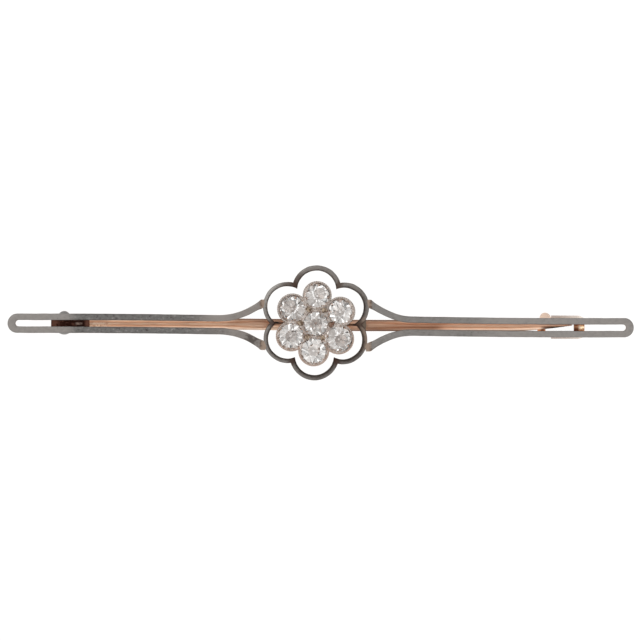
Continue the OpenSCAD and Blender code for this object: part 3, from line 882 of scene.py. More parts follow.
def block(low, high):
    """A box between two corners, to cut or join with."""
    form = bmesh.new()
    bmesh.ops.create_cube(form, size=1.0)
    low, high = Vector(low), Vector(high)
    bmesh.ops.scale(form, vec=high - low, verts=form.verts)
    bmesh.ops.translate(form, vec=(low + high) / 2, verts=form.verts)
    return form


def moved(form, matrix):
    """The form, moved by a matrix."""
    bmesh.ops.transform(form, matrix=matrix, verts=form.verts)
    return form


def marked(form, name, rule):
    """The form with a number at each point, which the finishes read by name."""
    layer = form.verts.layers.float.get(name) or form.verts.layers.float.new(name)
    for vertex in form.verts:
        vertex[layer] = rule(vertex.co)
    return form


def along_x(start, stop, radius, axis, dome=0.0, drop=0.0):
    """A cylinder along X about an axis that runs through a point. Its far end may slope down."""
    whole = stop - start
    profile = [(0, 0), (radius, 0)]
    for k in range(7):
        share_down = k / 6
        profile.append((radius - drop * share_down ** 1.6, whole - dome * (1 - share_down)))
    profile.append((0, whole))
    turn = Matrix.Rotation(math.radians(90), 4, "Y")
    return moved(revolve(profile), Matrix.Translation((start, axis.y, axis.z)) @ turn)


def along_y(profile, axis, steps=96):
    """A solid turned about the hinge's own direction, Y, from (radius, height along Y) points."""
    form = revolve(profile, steps)
    turn = Matrix.Rotation(math.radians(-90), 4, "X")
    return moved(form, Matrix.Translation(axis) @ turn)


def joined(forms):
    """Several forms as one mesh of loose parts."""
    whole = bmesh.new()
    for form in forms:
        part = mesh_of("part", form)
        whole.from_mesh(part)
        bpy.data.meshes.remove(part)
    return whole


def bare_object(form):
    """An object that only carries a form, in millimetres, while solids are combined."""
    return linked("tool", mesh_of("tool", moved(form, Matrix.Scale(1 / MM, 4))))


def combined(base, steps):
    """The base after each step: a pair of UNION, DIFFERENCE or INTERSECT and a form."""
    host = bare_object(base)
    tools = [host]
    for operation, form in steps:
        tools.append(bare_object(form))
        change = host.modifiers.new(operation, "BOOLEAN")
        change.operation = operation
        change.solver = "MANIFOLD"
        change.object = tools[-1]
    result = bmesh.new()
    result.from_object(host, bpy.context.evaluated_depsgraph_get())
    for tool in tools:
        bpy.data.meshes.remove(tool.data)
    if not result.faces:
        raise RuntimeError("the combined solids left nothing")
    return moved(result, Matrix.Scale(MM, 4))


def corner(middle, radius, start, steps=4):
    """The points of a rounded corner, a quarter turn clockwise from the start angle."""
    return arc(Vector(middle), radius, start, start - 90, steps)


def flat_bar_section(outer, inner, low, high, edge, back_edge, crown, seam_at=None, seam=0.0):
    """One cross-section of flat metal between two points of its plan: rounded edges, a slightly
    domed front and, where it has two layers, the fine seam between them."""
    across = inner - outer
    width = across.length
    across /= width
    edge = min(edge, width * 0.45)
    back_edge = min(back_edge, width * 0.45)
    shoulder = high - crown
    outline = corner((back_edge, low + back_edge), back_edge, 270)
    if seam_at:
        outline += [Vector((0, seam_at - seam)), Vector((seam, seam_at)), Vector((0, seam_at + seam))]
    outline += corner((edge, shoulder - edge), edge, 180)
    for part in (0.25, 0.5, 0.75):
        rise = crown * (1 - (2 * part - 1) ** 2)
        outline.append(Vector((edge + (width - 2 * edge) * part, shoulder + rise)))
    outline += corner((width - edge, shoulder - edge), edge, 90)
    if seam_at:
        outline += [Vector((width, seam_at + seam)), Vector((width - seam, seam_at)),
                    Vector((width, seam_at - seam))]
    outline += corner((width - back_edge, low + back_edge), back_edge, 0)
    points = []
    for spot in outline:
        plan = outer + across * spot.x
        points.append(Vector((plan.x, plan.y, spot.y, spot.x / width)))
    return points


def uneven(points, amount, pitch=1.3):
    """The points, each moved a little in plan by slow noise, as hand filing leaves an edge."""
    shifted = []
    for point in points:
        here = Vector((point.x, point.y, 0)) / MM * pitch
        push = [noise.noise(here + draw) * amount for draw in UNEVEN_DRAWS]
        shifted.append(point + Vector((*push, 0, 0)))
    return shifted


def add_piece(name, form, body, maker, stands_for, crease=32):
    """Puts a form into the scene as a named piece that rides on a body of the frame."""
    bmesh.ops.recalc_face_normals(form, faces=form.faces)
    mesh = mesh_of(name, form)
    mesh.shade_smooth()
    mesh.set_sharp_from_angle(angle=math.radians(crease))
    piece = linked(name, mesh)
    mesh.materials.append(finish_of(maker))
    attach(piece, body)
    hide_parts(*stands_for)


def add_soldered(name, form, maker):
    """Adds a piece of the soldered frame."""
    add_piece(name, form, "mount", maker, ["bar_frame"])


def dress_node(name, maker):
    """Gives a node of the frame its finish and leaves its shape alone."""
    node = frame["nodes"][name]
    for place in node.material_slots:
        place.link = "OBJECT"
        place.material = finish_of(maker)


# Bars


def smooth_step(value):
    """Runs smoothly from 0 to 1."""
    value = min(max(value, 0.0), 1.0)
    return value * value * (3 - 2 * value)


def flare_follow(sizes, flare_x, place):
    """0 on the straight rail, rising to 1 where the flare nears the flower."""
    return smooth_step((flare_x - sizes.hand_from - place.x) / sizes.hand_run)


def rail_plan(sizes, reach, tip_x, flare_x, up, hand):
    """Pairs of outer and inner points of one rail, from its soldered tip to the bar's round end, and
    the distance of each pair from the tip. up is 1 for the upper rail and -1 for the lower one."""
    half = sizes.width / 2
    slot_half = sizes.slot / 2
    centre = Vector((flare_x, half + sizes.flare_radius))
    inner_radius = sizes.flare_radius + half - slot_half
    end_x = reach - half
    slot_x = reach - sizes.end_wall - slot_half
    flare_steps, rail_steps = 44, 60
    pairs = []
    for k in range(flare_steps):
        left = (1 - k / flare_steps) * (flare_x - tip_x)
        run = flare_x - tip_x - left
        swell = 1 - smooth_step(run / sizes.solder_run)
        outer = centre + turned(sizes.flare_radius - sizes.solder_out * swell,
                                270 - math.degrees(math.asin(left / sizes.flare_radius)))
        inner = centre + turned(inner_radius + sizes.solder * swell,
                                270 - math.degrees(math.asin(left / inner_radius)))
        pairs.append((outer, inner))
    for k in range(rail_steps):
        run = k / rail_steps
        pairs.append((Vector((flare_x + (end_x - flare_x) * run, half)),
                      Vector((flare_x + (slot_x - flare_x) * run, slot_half))))
    made = []
    for outer, inner in pairs:
        follow = flare_follow(sizes, flare_x, outer)
        outer.y = min(outer.y, sizes.tip_height)
        spots = [Vector((spot.x, spot.y * up + hand["higher"] * MM * follow)) for spot in (outer, inner)]
        spots[1].y -= up * hand["thicker"] * MM * follow
        made.append((*spots, outer.x - tip_x))
    return made


def bar_plan(sizes, reach, tip_x, flare_x, side_name):
    """The plan of one hairpin, lying along +X from the flower's centre: the upper rail, the round end
    and back along the lower rail."""
    half = sizes.width / 2
    slot_half = sizes.slot / 2
    end_x = reach - half
    slot_x = reach - sizes.end_wall - slot_half
    end_steps = 48
    round_end = []
    for k in range(end_steps + 1):
        spin = turned(1, 90 - 180 * k / end_steps)
        round_end.append((Vector((end_x, 0)) + spin * half, Vector((slot_x, 0)) + spin * slot_half,
                          end_x - tip_x))
    upper = rail_plan(sizes, reach, tip_x, flare_x, 1, RAIL_HAND["upper_" + side_name])
    lower = rail_plan(sizes, reach, tip_x, flare_x, -1, RAIL_HAND["lower_" + side_name])
    return upper + round_end + lower[::-1]


def bar_form(brooch, side):
    """One slotted bar: side is 1 for the right bar and -1 for the left one."""
    sizes = brooch.bars
    reach, _, outer_radius = lobe_sizes(brooch)
    end_x = FRAME_HIGH.x if side > 0 else FRAME_LOW.x
    lobe_side = reach * math.cos(math.radians(180 / LOBES)) + outer_radius
    tip_x = lobe_side - sizes.tip_lap
    flare_x = lobe_side - sizes.solder_lap + sizes.flare_run
    low = sizes.front - sizes.depth
    seam_at = sizes.front - sizes.white_layer
    whole = abs(end_x - FLOWER.x)
    side_name = "right" if side > 0 else "left"
    rings = []
    along = []
    for outer, inner, run in bar_plan(sizes, whole, tip_x, flare_x, side_name):
        share_along = min(max((outer.x - flare_x) / (whole - flare_x), 0), 1)
        bow = BAR_BOW[side_name] * MM * math.sin(math.pi * share_along)
        places = [Vector((FLOWER.x + side * point.x, HINGE.y + point.y + bow)) for point in (outer, inner)]
        ring = flat_bar_section(*places, low, sizes.front, sizes.edge, sizes.back_edge, sizes.crown,
                                seam_at, sizes.seam)
        rings.append(uneven(ring, sizes.wobble))
        along.append(run / MM)
    return loft(rings, along=along)


class BROOCH_OT_bars(Operator):
    """Make the two slotted bars with their flared rails"""

    bl_idname = "brooch.bars"
    bl_label = "Bars"

    def execute(self, context):
        for name, side in (("left_bar", -1), ("right_bar", 1)):
            form = bar_form(context.scene.brooch, side)
            add_soldered(name, form, white_metal)
        return {"FINISHED"}


# Flower


def lobe_sizes(brooch):
    """Distance of the lobes' centres from the flower's, and the lobes' inner and outer radius."""
    flower = brooch.flower
    reach = flower.reach + flower.shift
    inner = CENTRE_WIDTH / 2 + brooch.setting.metal + flower.gap
    return reach, inner, inner + flower.wire


def cusp_reach(reach, radius):
    """Distance at which two neighbouring lobes' circles of that radius meet."""
    half = math.radians(180 / LOBES)
    return reach * math.cos(half) + math.sqrt(radius ** 2 - (reach * math.sin(half)) ** 2)


def cusp_between(near, far, radius_near, radius_far):
    """The inward corner where two neighbouring circles of wire meet, on the side away from the middle."""
    gap = far - near
    distance = gap.length
    along = (distance ** 2 + radius_near ** 2 - radius_far ** 2) / (2 * distance)
    across = math.sqrt(radius_near ** 2 - along ** 2)
    sideways = Vector((-gap.y, gap.x)).normalized()
    corners = [near + gap.normalized() * along + sideways * across * side for side in (-1, 1)]
    return max(corners, key=lambda spot: spot.length)


def direction(vector):
    """A plan vector's direction in degrees."""
    return math.degrees(math.atan2(vector.y, vector.x))


def lobe_arc(middle, radius, before, after, share):
    """The point at a share of the way round a lobe, from one cusp to the next."""
    start = direction(before - middle)
    sweep = (direction(after - middle) - start) % 360
    return middle + turned(radius, start + sweep * share)


def flower_form(brooch):
    """The six lobes of wire, as one ring, each bent a little differently by hand."""
    bars, flower = brooch.bars, brooch.flower
    reach, inner_radius, outer_radius = lobe_sizes(brooch)
    turn = math.degrees(flower.turn)
    step = 360 / LOBES
    lobes = []
    for lobe, hand in enumerate(LOBE_HAND):
        middle = turned(reach, step / 2 + step * lobe + turn)
        middle += Vector((hand["right"], hand["up"])) * MM
        lobes.append((middle, outer_radius + hand["outer"] * MM, inner_radius + hand["inner"] * MM))
    stations = 56
    rings = []
    along = []
    for lobe, (middle, outer, inner) in enumerate(lobes):
        before, after = lobes[lobe - 1], lobes[(lobe + 1) % LOBES]
        corners = [[cusp_between(one[0], other[0], one[side], other[side]) for side in (1, 2)]
                   for one, other in ((before, lobes[lobe]), (lobes[lobe], after))]
        for k in range(stations):
            share_round = k / stations
            spots = [lobe_arc(middle, radius, corners[0][side], corners[1][side], share_round)
                     for side, radius in ((0, outer), (1, inner))]
            spots = [FLOWER.xy + spot for spot in spots]
            ring = flat_bar_section(*spots, bars.front - bars.depth, bars.front + flower.proud,
                                    flower.edge, bars.back_edge, flower.crown)
            rings.append(uneven(ring, flower.wobble))
            along.append(abs(2 * share_round - 1))
    return loft(rings, closed=True, along=along)


class BROOCH_OT_flower(Operator):
    """Make the openwork flower's six lobes of wire"""

    bl_idname = "brooch.flower"
    bl_label = "Flower"

    def execute(self, context):
        form = flower_form(context.scene.brooch)
        add_soldered("flower_frame", form, dark_wire)
        return {"FINISHED"}


def strut_form(brooch, side):
    """A strut from the flower's frame to the cluster; the right one ends in a web that fills the notch
    between two lobes."""
    bars, flower = brooch.bars, brooch.flower
    reach, inner_radius, _ = lobe_sizes(brooch)
    start = flower.reach * math.cos(math.radians(180 / LOBES))
    cusp = cusp_reach(reach, inner_radius)
    stop = cusp + (flower.web if side > 0 else flower.strut)
    high = bars.front - flower.strut_drop
    edge, back_edge = 0.06 * MM, 0.04 * MM
    stations = 32
    rings = []
    along = []
    for k in range(stations + 1):
        place = start + (stop - start) * k / stations
        past_cusp = max(place - cusp, 0)
        half = max(flower.strut / 2, past_cusp / 2 if side > 0 else 0)
        ends = [Matrix.Rotation(flower.turn, 2) @ Vector((side * place, y)) + FLOWER.xy
                for y in (half, -half)]
        ring = flat_bar_section(*ends, high - flower.strut_depth, high, edge, back_edge, 0)
        rings.append(uneven(ring, bars.wobble))
        along.append((place - cusp) / MM)
    return loft(rings, along=along)


class BROOCH_OT_struts(Operator):
    """Make the two struts that carry the cluster"""

    bl_idname = "brooch.struts"
    bl_label = "Struts"

    def execute(self, context):
        for name, side in (("left_strut", -1), ("right_strut_with_web", 1)):
            form = strut_form(context.scene.brooch, side)
            add_soldered(name, form, strut_metal)
        return {"FINISHED"}


# Setting


def setting_heights(brooch):
    """Height of the collets' open backs, of the stones' girdles and of the rims."""
    cut, setting, bars = brooch.cut, brooch.setting, brooch.bars
    girdle = FLOWER.z - CENTRE_WIDTH * (cut.crown + cut.girdle / 2)
    back = bars.front - bars.depth + setting.lift
    rim = girdle + CENTRE_WIDTH * cut.girdle / 2 + setting.rim
    return back, girdle, rim


def collet_form(brooch, stone):
    """The outside of one collet about the Z axis, with a softly rounded rim."""
    setting = brooch.setting
    back, _, rim = setting_heights(brooch)
    radius = stone / 2 + setting.metal
    foot = radius - setting.foot
    neck = rim - setting.neck
    bevel, soft = 0.04 * MM, 0.11 * MM
    profile = [(0, back), (foot - bevel, back), (foot, back + bevel), (radius - 0.02 * MM, neck),
               (radius, neck + 0.06 * MM)]
    profile += [tuple(point) for point in arc(Vector((radius - soft, rim - soft)), soft, 0, 90, 6)]
    profile.append((0, rim))
    return revolve(profile)


def seat_form(brooch, stone):
    """The hollow that takes a stone, open at the back and lapped by the rim in front."""
    setting, cut = brooch.setting, brooch.cut
    back, girdle, rim = setting_heights(brooch)
    past = 1 * MM
    open_share, rim_lean = 0.69, 1.1
    radius = stone / 2 + setting.play
    hole = stone / 2 * open_share
    lap = stone / 2 - setting.lap
    edge = stone * cut.girdle / 2
    slope = cut.pavilion / (0.5 - cut.culet / 2)
    ledge = girdle - edge - 0.05 * MM
    profile = [(0, back - past), (hole, back - past), (hole, ledge - (radius - hole) * slope),
               (radius, ledge), (radius, girdle + edge + setting.play),
               (lap, girdle + edge + setting.play + (radius - lap) * rim_lean),
               (lap + setting.bright_cut, rim), (lap + setting.bright_cut, rim + past),
               (0, rim + past)]
    return revolve(profile)


def at_stone(name, form):
    """A form made about the Z axis, moved over a stone."""
    place = stone_place(name)[0]
    return moved(form, Matrix.Translation((place.x, place.y, 0)))


def setting_form(brooch):
    """The seven collets, soldered into one cluster and cut for their stones."""
    outsides = [at_stone(name, collet_form(brooch, stone_place(name)[1])) for name in STONES]
    seats = [at_stone(name, seat_form(brooch, stone_place(name)[1])) for name in STONES]
    steps = [("UNION", form) for form in outsides[1:]] + [("DIFFERENCE", form) for form in seats]
    stones = [stone_place(name) for name in STONES]

    def outside_stone(place):
        return min((place.xy - middle.xy).length - size / 2 for middle, size in stones) / MM

    return marked(combined(outsides[0], steps), "rim", outside_stone)


def bead_places():
    """Where the six small beads stand: in the middle of each three collets that meet."""
    places = []
    for k, name in enumerate(OUTER_STONES):
        after = OUTER_STONES[(k + 1) % len(OUTER_STONES)]
        trio = [stone_place(each)[0].xy for each in ("stone_centre", name, after)]
        places.append(sum(trio, Vector((0, 0))) / 3)
    return places


def beads_form(brooch):
    """The six beads, each a dome on a short post."""
    setting = brooch.setting
    rim = setting_heights(brooch)[2]
    dents_per_mm, squeeze, sink = 3, 0.5, 0.12 * MM
    forms = []
    for k, place in enumerate(bead_places()):
        dome = arc(Vector((0, rim)), setting.bead, 0, 90, 8)
        profile = [(0, rim - setting.neck), (setting.bead, rim - setting.neck)]
        profile += [tuple(point) for point in dome]
        form = revolve(profile, 32)
        for vertex in form.verts:
            if vertex.co.z > rim:
                dent = noise.noise(vertex.co / MM * dents_per_mm + Vector((7 * k, 0, 0)))
                vertex.co.xy *= 1 + squeeze * dent
                vertex.co.z -= sink * abs(dent)
        forms.append(moved(form, Matrix.Translation((place.x, place.y, 0))))
    return joined(forms)


def millegrain_form(brooch):
    """The rows of fine grains along the rims. Where two rims share a wall, one row runs on it."""
    setting = brooch.setting
    rim = setting_heights(brooch)[2]
    least_clear, least_apart = setting.grain * 0.6, setting.pitch * 0.85
    places = []
    for name in STONES:
        middle, stone = stone_place(name)
        row = stone / 2 + setting.grain_out
        others = [stone_place(other) for other in STONES if other != name]
        count = round(2 * math.pi * row / setting.pitch)
        for k in range(count):
            spot = middle.xy + turned(row, 360 * (k + 0.3) / count)
            clear = min((spot - place.xy).length - width / 2 for place, width in others)
            near = min(((spot - place).length for place in places), default=setting.pitch)
            if clear > least_clear and near > least_apart:
                places.append(spot)
    forms = []
    for spot in places:
        grain = bmesh.new()
        bmesh.ops.create_icosphere(grain, subdivisions=2, radius=setting.grain)
        forms.append(moved(grain, Matrix.Translation((spot.x, spot.y, rim))))
    return joined(forms)


class BROOCH_OT_setting(Operator):
    """Make the cluster's collets, its small beads and the millegrain"""

    bl_idname = "brooch.setting"
    bl_label = "Setting"

    def execute(self, context):
        brooch = context.scene.brooch
        for name, form, maker in (
            ("cluster_setting", setting_form(brooch), collet_metal),
            ("small_beads", beads_form(brooch), bead_metal),
            ("millegrain", millegrain_form(brooch), grain_metal),
        ):
            add_soldered(name, form, maker)
        return {"FINISHED"}


# Stones


def cut_facet(gem, normal, distance):
    """Grinds away what lies beyond a plane and closes the facet."""
    whole = gem.verts[:] + gem.edges[:] + gem.faces[:]
    made = bmesh.ops.bisect_plane(gem, geom=whole, dist=1e-6, plane_co=normal * distance,
                                  plane_no=normal, clear_outer=True)
    rim = [edge for edge in made["geom_cut"] if isinstance(edge, bmesh.types.BMEdge)]
    if len(rim) > 2:
        bmesh.ops.holes_fill(gem, edges=rim, sides=0)


def stone_form(cut, turn, seed, aside):
    """One old-cut stone of diameter 1 about its girdle, ground facet by facet by hand. Its table lies
    aside of its middle, as on many old stones."""

    def by_hand(number):
        return noise.noise(Vector((seed * 3.7 + 0.5, number * 1.9 + 0.3, 0.7))) * cut.hand * 2

    gem = revolve([(0, -0.6), (0.5, -0.6), (0.5, 0.4), (0, 0.4)], 32)
    edge = cut.girdle / 2
    apothem = 0.5 * math.cos(math.radians(11.25))
    deep = math.degrees(math.atan2(cut.pavilion, 0.5 - cut.culet / 2))

    def below(_):
        return deep, 0.5, -edge

    def below_halves(_):
        return deep + math.degrees(cut.low_halves), apothem, -edge

    def crown_main(run):
        return math.degrees(math.atan2(cut.crown, run)), 0.5, edge

    def crown_halves(run):
        return crown_main(run)[0] + math.degrees(cut.high_halves), apothem, edge

    def crown_star(run):
        corner_cos = math.cos(math.radians(22.5))
        reach = (0.5 - run / 2) / corner_cos
        table_side = (0.5 - run) * corner_cos
        return math.degrees(math.atan2(cut.crown / 2, reach - table_side)), reach, edge + cut.crown / 2

    # Each row: its rule, the facets in it, the first one's direction, and up or down
    rows = [(below, 8, 0, -1), (below_halves, 16, 11.25, -1), (crown_main, 8, 0, 1),
            (crown_halves, 16, 11.25, 1), (crown_star, 8, 22.5, 1)]
    number = 0
    for rule, count, first, up in rows:
        for k in range(count):
            number += 1
            round_about = turned(1, turn + first + 360 / count * k + 90 * by_hand(number + 100))
            slope, reach, height = rule(0.5 - cut.table / 2 - aside.dot(round_about))
            tilt = math.radians(slope * (1 + by_hand(number)))
            normal = Vector((round_about.x * math.sin(tilt), round_about.y * math.sin(tilt),
                             up * math.cos(tilt)))
            distance = reach * math.sin(tilt) + up * height * math.cos(tilt)
            cut_facet(gem, normal, distance * (1 - 0.4 * abs(by_hand(number + 200))))
    lean = Vector((by_hand(301) * 2, by_hand(302) * 2, 1)).normalized()
    cut_facet(gem, lean, edge + cut.crown)
    cut_facet(gem, Vector((0, 0, -1)), edge + cut.pavilion)
    return marked(gem, "table", lambda place: float(place.z > edge + 0.85 * cut.crown))


class BROOCH_OT_stones(Operator):
    """Cut the seven stones and set them"""

    bl_idname = "brooch.stones"
    bl_label = "Stones"

    def execute(self, context):
        brooch = context.scene.brooch
        girdle = setting_heights(brooch)[1]
        for k, name in enumerate(STONES):
            place, size = stone_place(name)
            hand = STONE_HAND[k]
            aside = Vector((hand["right"], hand["up"])) * MM / size
            form = stone_form(brooch.cut, 10 + 37 * k, brooch.seed + k, aside)
            form = marked(form, "grey", lambda _, hand=hand: hand["grey"])
            tilt = Matrix.Rotation(math.radians(hand["tilt"]), 4, Vector((*turned(1, hand["about"]), 0)))
            move = Matrix.Translation((place.x, place.y, girdle)) @ tilt @ Matrix.Scale(size, 4)
            add_piece("cut_" + name, moved(form, move), "mount", clear_stone, [name], 1)
        return {"FINISHED"}


# Hinge


def hinge_form(brooch):
    """The waisted barrel and the back plate, slotted for the tongue and drilled for the rivet."""
    bars, hinge = brooch.bars, brooch.hinge
    back = bars.front - bars.depth
    plate_low = back - hinge.plate
    ear, edge, knuckle = hinge.ear, hinge.edge, hinge.knuckle
    barrel = along_y([
        (0, -ear), (knuckle - edge, -ear), (knuckle - edge * 0.3, -ear + edge * 0.3),
        (knuckle, -ear + edge), (knuckle - hinge.waist, 0), (knuckle, ear - edge),
        (knuckle - edge * 0.3, ear - edge * 0.3), (knuckle - edge, ear), (0, ear)], HINGE)
    plate = block((HINGE.x - hinge.plate_out, HINGE.y - ear, plate_low),
                  (HINGE.x + hinge.plate_in, HINGE.y + ear, back + 0.03 * MM))
    bmesh.ops.bevel(plate, geom=plate.edges[:], offset=edge, segments=2, profile=0.5, affect="EDGES")
    past = 2 * knuckle
    room = block((HINGE.x - hinge.shut, HINGE.y - hinge.tongue_room, -past),
                 (HINGE.x + past, HINGE.y + hinge.tongue_room, plate_low))
    bore = along_y([(0, -past), (hinge.rivet / 2, -past), (hinge.rivet / 2, past), (0, past)], HINGE)
    return combined(barrel, [("UNION", plate), ("DIFFERENCE", room), ("DIFFERENCE", bore)])


class BROOCH_OT_hinge(Operator):
    """Make the hinge's barrel and back plate, and finish its rivet"""

    bl_idname = "brooch.hinge"
    bl_label = "Hinge"

    def execute(self, context):
        form = hinge_form(context.scene.brooch)
        add_soldered("hinge_barrel", form, hinge_metal)
        dress_node("hinge_rivet", rivet_metal)
        return {"FINISHED"}


# Pin


def pin_section(brooch, along):
    """Half width, half thickness and squareness of the pin at that distance from the rivet."""
    pin = brooch.pin
    point_from = pin_length() - pin.point
    flat = 1 - smooth_step((along - pin.shoulder) / pin.forging)
    half = pin.stem / 2
    if along > point_from:
        half = pin.tip + (half - pin.tip) * (1 - ((along - point_from) / pin.point) ** 2)
    return (half + (pin.tongue / 2 - half) * flat, half + (pin.neck / 2 - half) * flat, 2 + 8 * flat)


def pin_length():
    """From the rivet to the tip of the point."""
    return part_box("pin_stem")[1].x - HINGE.x


def pin_bow(pin, along):
    """How far aside the hand-straightened pin lies at that distance from the rivet."""
    rising = smooth_step((along - pin.bow_from) / pin.bow_rise)
    falling = smooth_step((pin.bow_to - along) / pin.bow_fall)
    return -pin.bow * rising * falling


def pin_form(brooch):
    """The pin: an eye on the rivet, a flat neck that turns round, a stem and a long point."""
    pin = brooch.pin
    whole = pin_length()
    eye_half, edge = pin.stem / 2, pin.edge
    root, past = 0.42 * MM, 1 * MM
    places = [root + (pin.shoulder - root) * k / 4 for k in range(5)]
    places += [pin.shoulder + pin.forging * k / 12 for k in range(1, 13)]
    stem_from = pin.shoulder + pin.forging
    places += [stem_from + (whole - pin.point - stem_from) * k / 60 for k in range(1, 61)]
    places += [whole - pin.point * (1 - k / 40) for k in range(1, 41)]
    rings = []
    sides = 40
    for along in places:
        wide, thick, square = pin_section(brooch, along)
        ring = []
        for k in range(sides):
            spin = turned(1, 360 * k / sides)
            reach = (abs(spin.x) ** square + abs(spin.y) ** square) ** (-1 / square)
            ring.append(Vector((along, pin_bow(pin, along) + wide * spin.x * reach,
                                thick * spin.y * reach)))
        rings.append(ring)
    stem = moved(loft(rings), Matrix.Translation(HINGE) @ Matrix.Rotation(pin.set, 4, "Z"))
    half = pin.tongue / 2
    eye = along_y([
        (0, -half), (eye_half - edge, -half), (eye_half, -half + edge), (eye_half, half - edge),
        (eye_half - edge, half), (0, half)], HINGE, 64)
    bore = along_y([(0, -past), (pin.bore / 2, -past), (pin.bore / 2, past), (0, past)], HINGE, 48)
    form = combined(eye, [("UNION", stem), ("DIFFERENCE", bore)])

    def across(place):
        along = place.x - HINGE.x
        return (place.y - HINGE.y - along * math.tan(pin.set) - pin_bow(pin, along)) / (pin.stem / 2)

    return marked(form, "across", across)


class BROOCH_OT_pin(Operator):
    """Make the pin that swings on the rivet"""

    bl_idname = "brooch.pin"
    bl_label = "Pin"

    def execute(self, context):
        form = pin_form(context.scene.brooch)
        add_piece("pin_with_point", form, "pin", pin_gold, ["pin_stem"])
        return {"FINISHED"}


# Catch


def catch_form(brooch):
    """The catch's tube: a closed ring, two side walls, and a hook behind the pin."""
    hinge, catch = brooch.hinge, brooch.catch
    knuckle = hinge.knuckle
    inside = knuckle - catch.wall
    closed_x = FRAME_HIGH.x - catch.inset
    open_x = closed_x - catch.length
    ring_x = closed_x - catch.ring
    wall_x = open_x + catch.mouth
    far = 2 * knuckle
    y, z = CATCH.y, CATCH.z
    wall_edge = inside * math.cos(catch.wall_low)
    hollow = along_x(open_x - far, ring_x + catch.cap, inside, CATCH)
    ring_hollow = along_x(ring_x + catch.cap / 2, closed_x - catch.cap, inside, CATCH)
    window = block((open_x - far, y - catch.window, z), (ring_x, y + catch.window, z + far))
    behind = block((wall_x, y - catch.arm_edge, z - far), (ring_x, y + wall_edge, z))
    above_hook = block((open_x - far, y - catch.hook_edge, z - far), (wall_x, y + far, z + far))
    over_hook = block((open_x - far, y - far, z - catch.arm_top), (wall_x, y + far, z + far))
    beside_arm = block((open_x + catch.hook, y - catch.arm_edge, z - far), (wall_x, y + far, z))
    lip = along_x(ring_x, ring_x + catch.cap, inside + 0.05 * MM, CATCH)
    lip_hollow = along_x(ring_x - far, ring_x + far, catch.lip_inner, CATCH)
    lip_side = block((ring_x - far, y - far, z - far), (ring_x + far, y - catch.lip_edge, z + far))
    lip = combined(lip, [("DIFFERENCE", lip_hollow), ("INTERSECT", lip_side)])
    cuts = [hollow, ring_hollow, window, behind, above_hook, over_hook, beside_arm]
    tube = along_x(open_x, closed_x, knuckle, CATCH, catch.dome, catch.dome_drop)
    return combined(tube, [("DIFFERENCE", form) for form in cuts] + [("UNION", lip)])


class BROOCH_OT_catch(Operator):
    """Make the catch's tube and finish its shutter"""

    bl_idname = "brooch.catch"
    bl_label = "Catch"

    def execute(self, context):
        form = catch_form(context.scene.brooch)
        add_soldered("catch_tube", form, catch_gold)
        dress_node("catch_shutter", tab_gold)
        return {"FINISHED"}


# Stage


def add_floor(studio):
    """A plain pale floor under the brooch, of milky glass."""
    form = bmesh.new()
    bmesh.ops.create_circle(form, cap_ends=True, radius=studio.floor, segments=64)
    floor = linked("floor", mesh_of("floor", form))
    floor.location.z = -studio.floor_drop
    floor.data.materials.append(finish_of(pale_floor))


def add_softbox(name, place, width, depth, glow):
    """A soft lamp that faces the brooch. Its glow is its brightness as seen from there."""
    lamp = bpy.data.lights.new(name, "AREA")
    lamp.shape = "RECTANGLE"
    lamp.size = width
    lamp.size_y = depth
    lamp.energy = glow * math.pi * width * depth
    holder = linked(name, lamp)
    holder.location = place
    holder.rotation_euler = (-Vector(place)).to_track_quat("-Z", "Y").to_euler()


def add_tent(studio):
    """A tent of soft light round the brooch, with pale sides and a dimmer top, over a box of light."""
    world = bpy.data.worlds.new("tent")
    bpy.context.scene.world = world
    shade = Shade(world)
    spot = shade.node("ShaderNodeTexCoord", out="Generated")
    x, y, z = shade.parts(spot)
    top = z.rise(0.72, 0.97)
    clouds = shade.node("ShaderNodeTexNoise", None, {"Vector": spot, "Scale": 2.6, "Detail": 2.0})
    sides = studio.side_glow * (0.3 + clouds.rise(0.42, 0.54) * 0.85)
    level = sides + top * (studio.top_glow - sides)
    level = studio.low_glow + z.rise(0.04, 0.2) * (level - studio.low_glow)
    level = level * (1 + (y - x) * 0.08)
    level = level + z.rise(0.0, -0.01) * (studio.box_glow - level)
    tint = shade.mix(top, (1, 0.995, 0.985), (1, 0.96, 0.925))
    light = shade.node("ShaderNodeBackground", None, {"Color": tint, "Strength": level})
    shade.node("ShaderNodeOutputWorld", None, {"Surface": light})


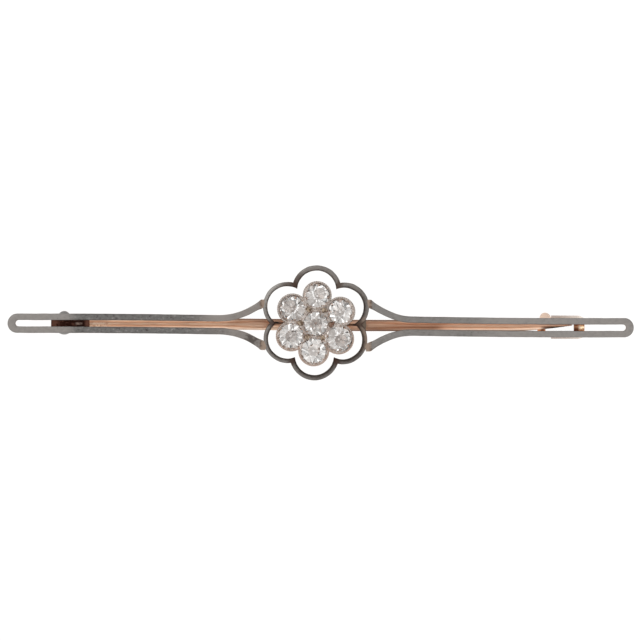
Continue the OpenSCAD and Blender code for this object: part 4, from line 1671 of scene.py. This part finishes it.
def add_camera(studio, front):
    """A long lens straight above the front, as the photograph looks at it."""
    lens = bpy.data.cameras.new("camera")
    lens.sensor_width = studio.sensor / MM
    lens.lens = studio.sensor / MM * studio.distance / studio.view_width
    lens.clip_start = studio.distance * 0.1
    lens.clip_end = studio.distance * 3
    camera = linked("camera", lens)
    camera.location = (LENS_OVER[0] * MM, LENS_OVER[1] * MM, front + studio.distance)
    camera.rotation_euler = (0, 0, studio.roll)
    bpy.context.scene.camera = camera


class BROOCH_OT_stage(Operator):
    """Set up the floor, the lights and the camera"""

    bl_idname = "brooch.stage"
    bl_label = "Stage"

    def execute(self, context):
        brooch = context.scene.brooch
        add_floor(brooch.studio)
        add_tent(brooch.studio)
        for name, lamp in SOFTBOXES.items():
            add_softbox(name, **lamp)
        add_camera(brooch.studio, brooch.bars.front)
        context.scene.view_settings.view_transform = "Standard"
        return {"FINISHED"}


OPERATORS = (BROOCH_OT_bars, BROOCH_OT_flower, BROOCH_OT_struts, BROOCH_OT_setting, BROOCH_OT_stones,
             BROOCH_OT_hinge, BROOCH_OT_pin, BROOCH_OT_catch, BROOCH_OT_stage)


class BROOCH_PT_sidebar(Panel):
    """The brooch's pieces, in the order in which they are made"""

    bl_idname = "BROOCH_PT_sidebar"
    bl_label = "Bar brooch"
    bl_space_type = "VIEW_3D"
    bl_region_type = "UI"
    bl_category = "Brooch"

    def draw(self, context):
        for operator in OPERATORS:
            self.layout.operator(operator.bl_idname)


GROUPS = (BarSizes, FlowerSizes, SettingSizes, StoneCut, PinSizes, HingeSizes, CatchSizes, Colours,
          Studio, BroochSettings)
CLASSES = GROUPS + OPERATORS + (BROOCH_PT_sidebar,)


def register():
    for each in CLASSES:
        bpy.utils.register_class(each)
    bpy.types.Scene.brooch = PointerProperty(type=BroochSettings)


def unregister():
    del bpy.types.Scene.brooch
    for each in reversed(CLASSES):
        bpy.utils.unregister_class(each)


def main():
    """Registers the add-on and makes every piece."""
    register()
    for operator in OPERATORS:
        group, name = operator.bl_idname.split(".")
        getattr(getattr(bpy.ops, group), name)()


if __name__ == "__main__":
    main()
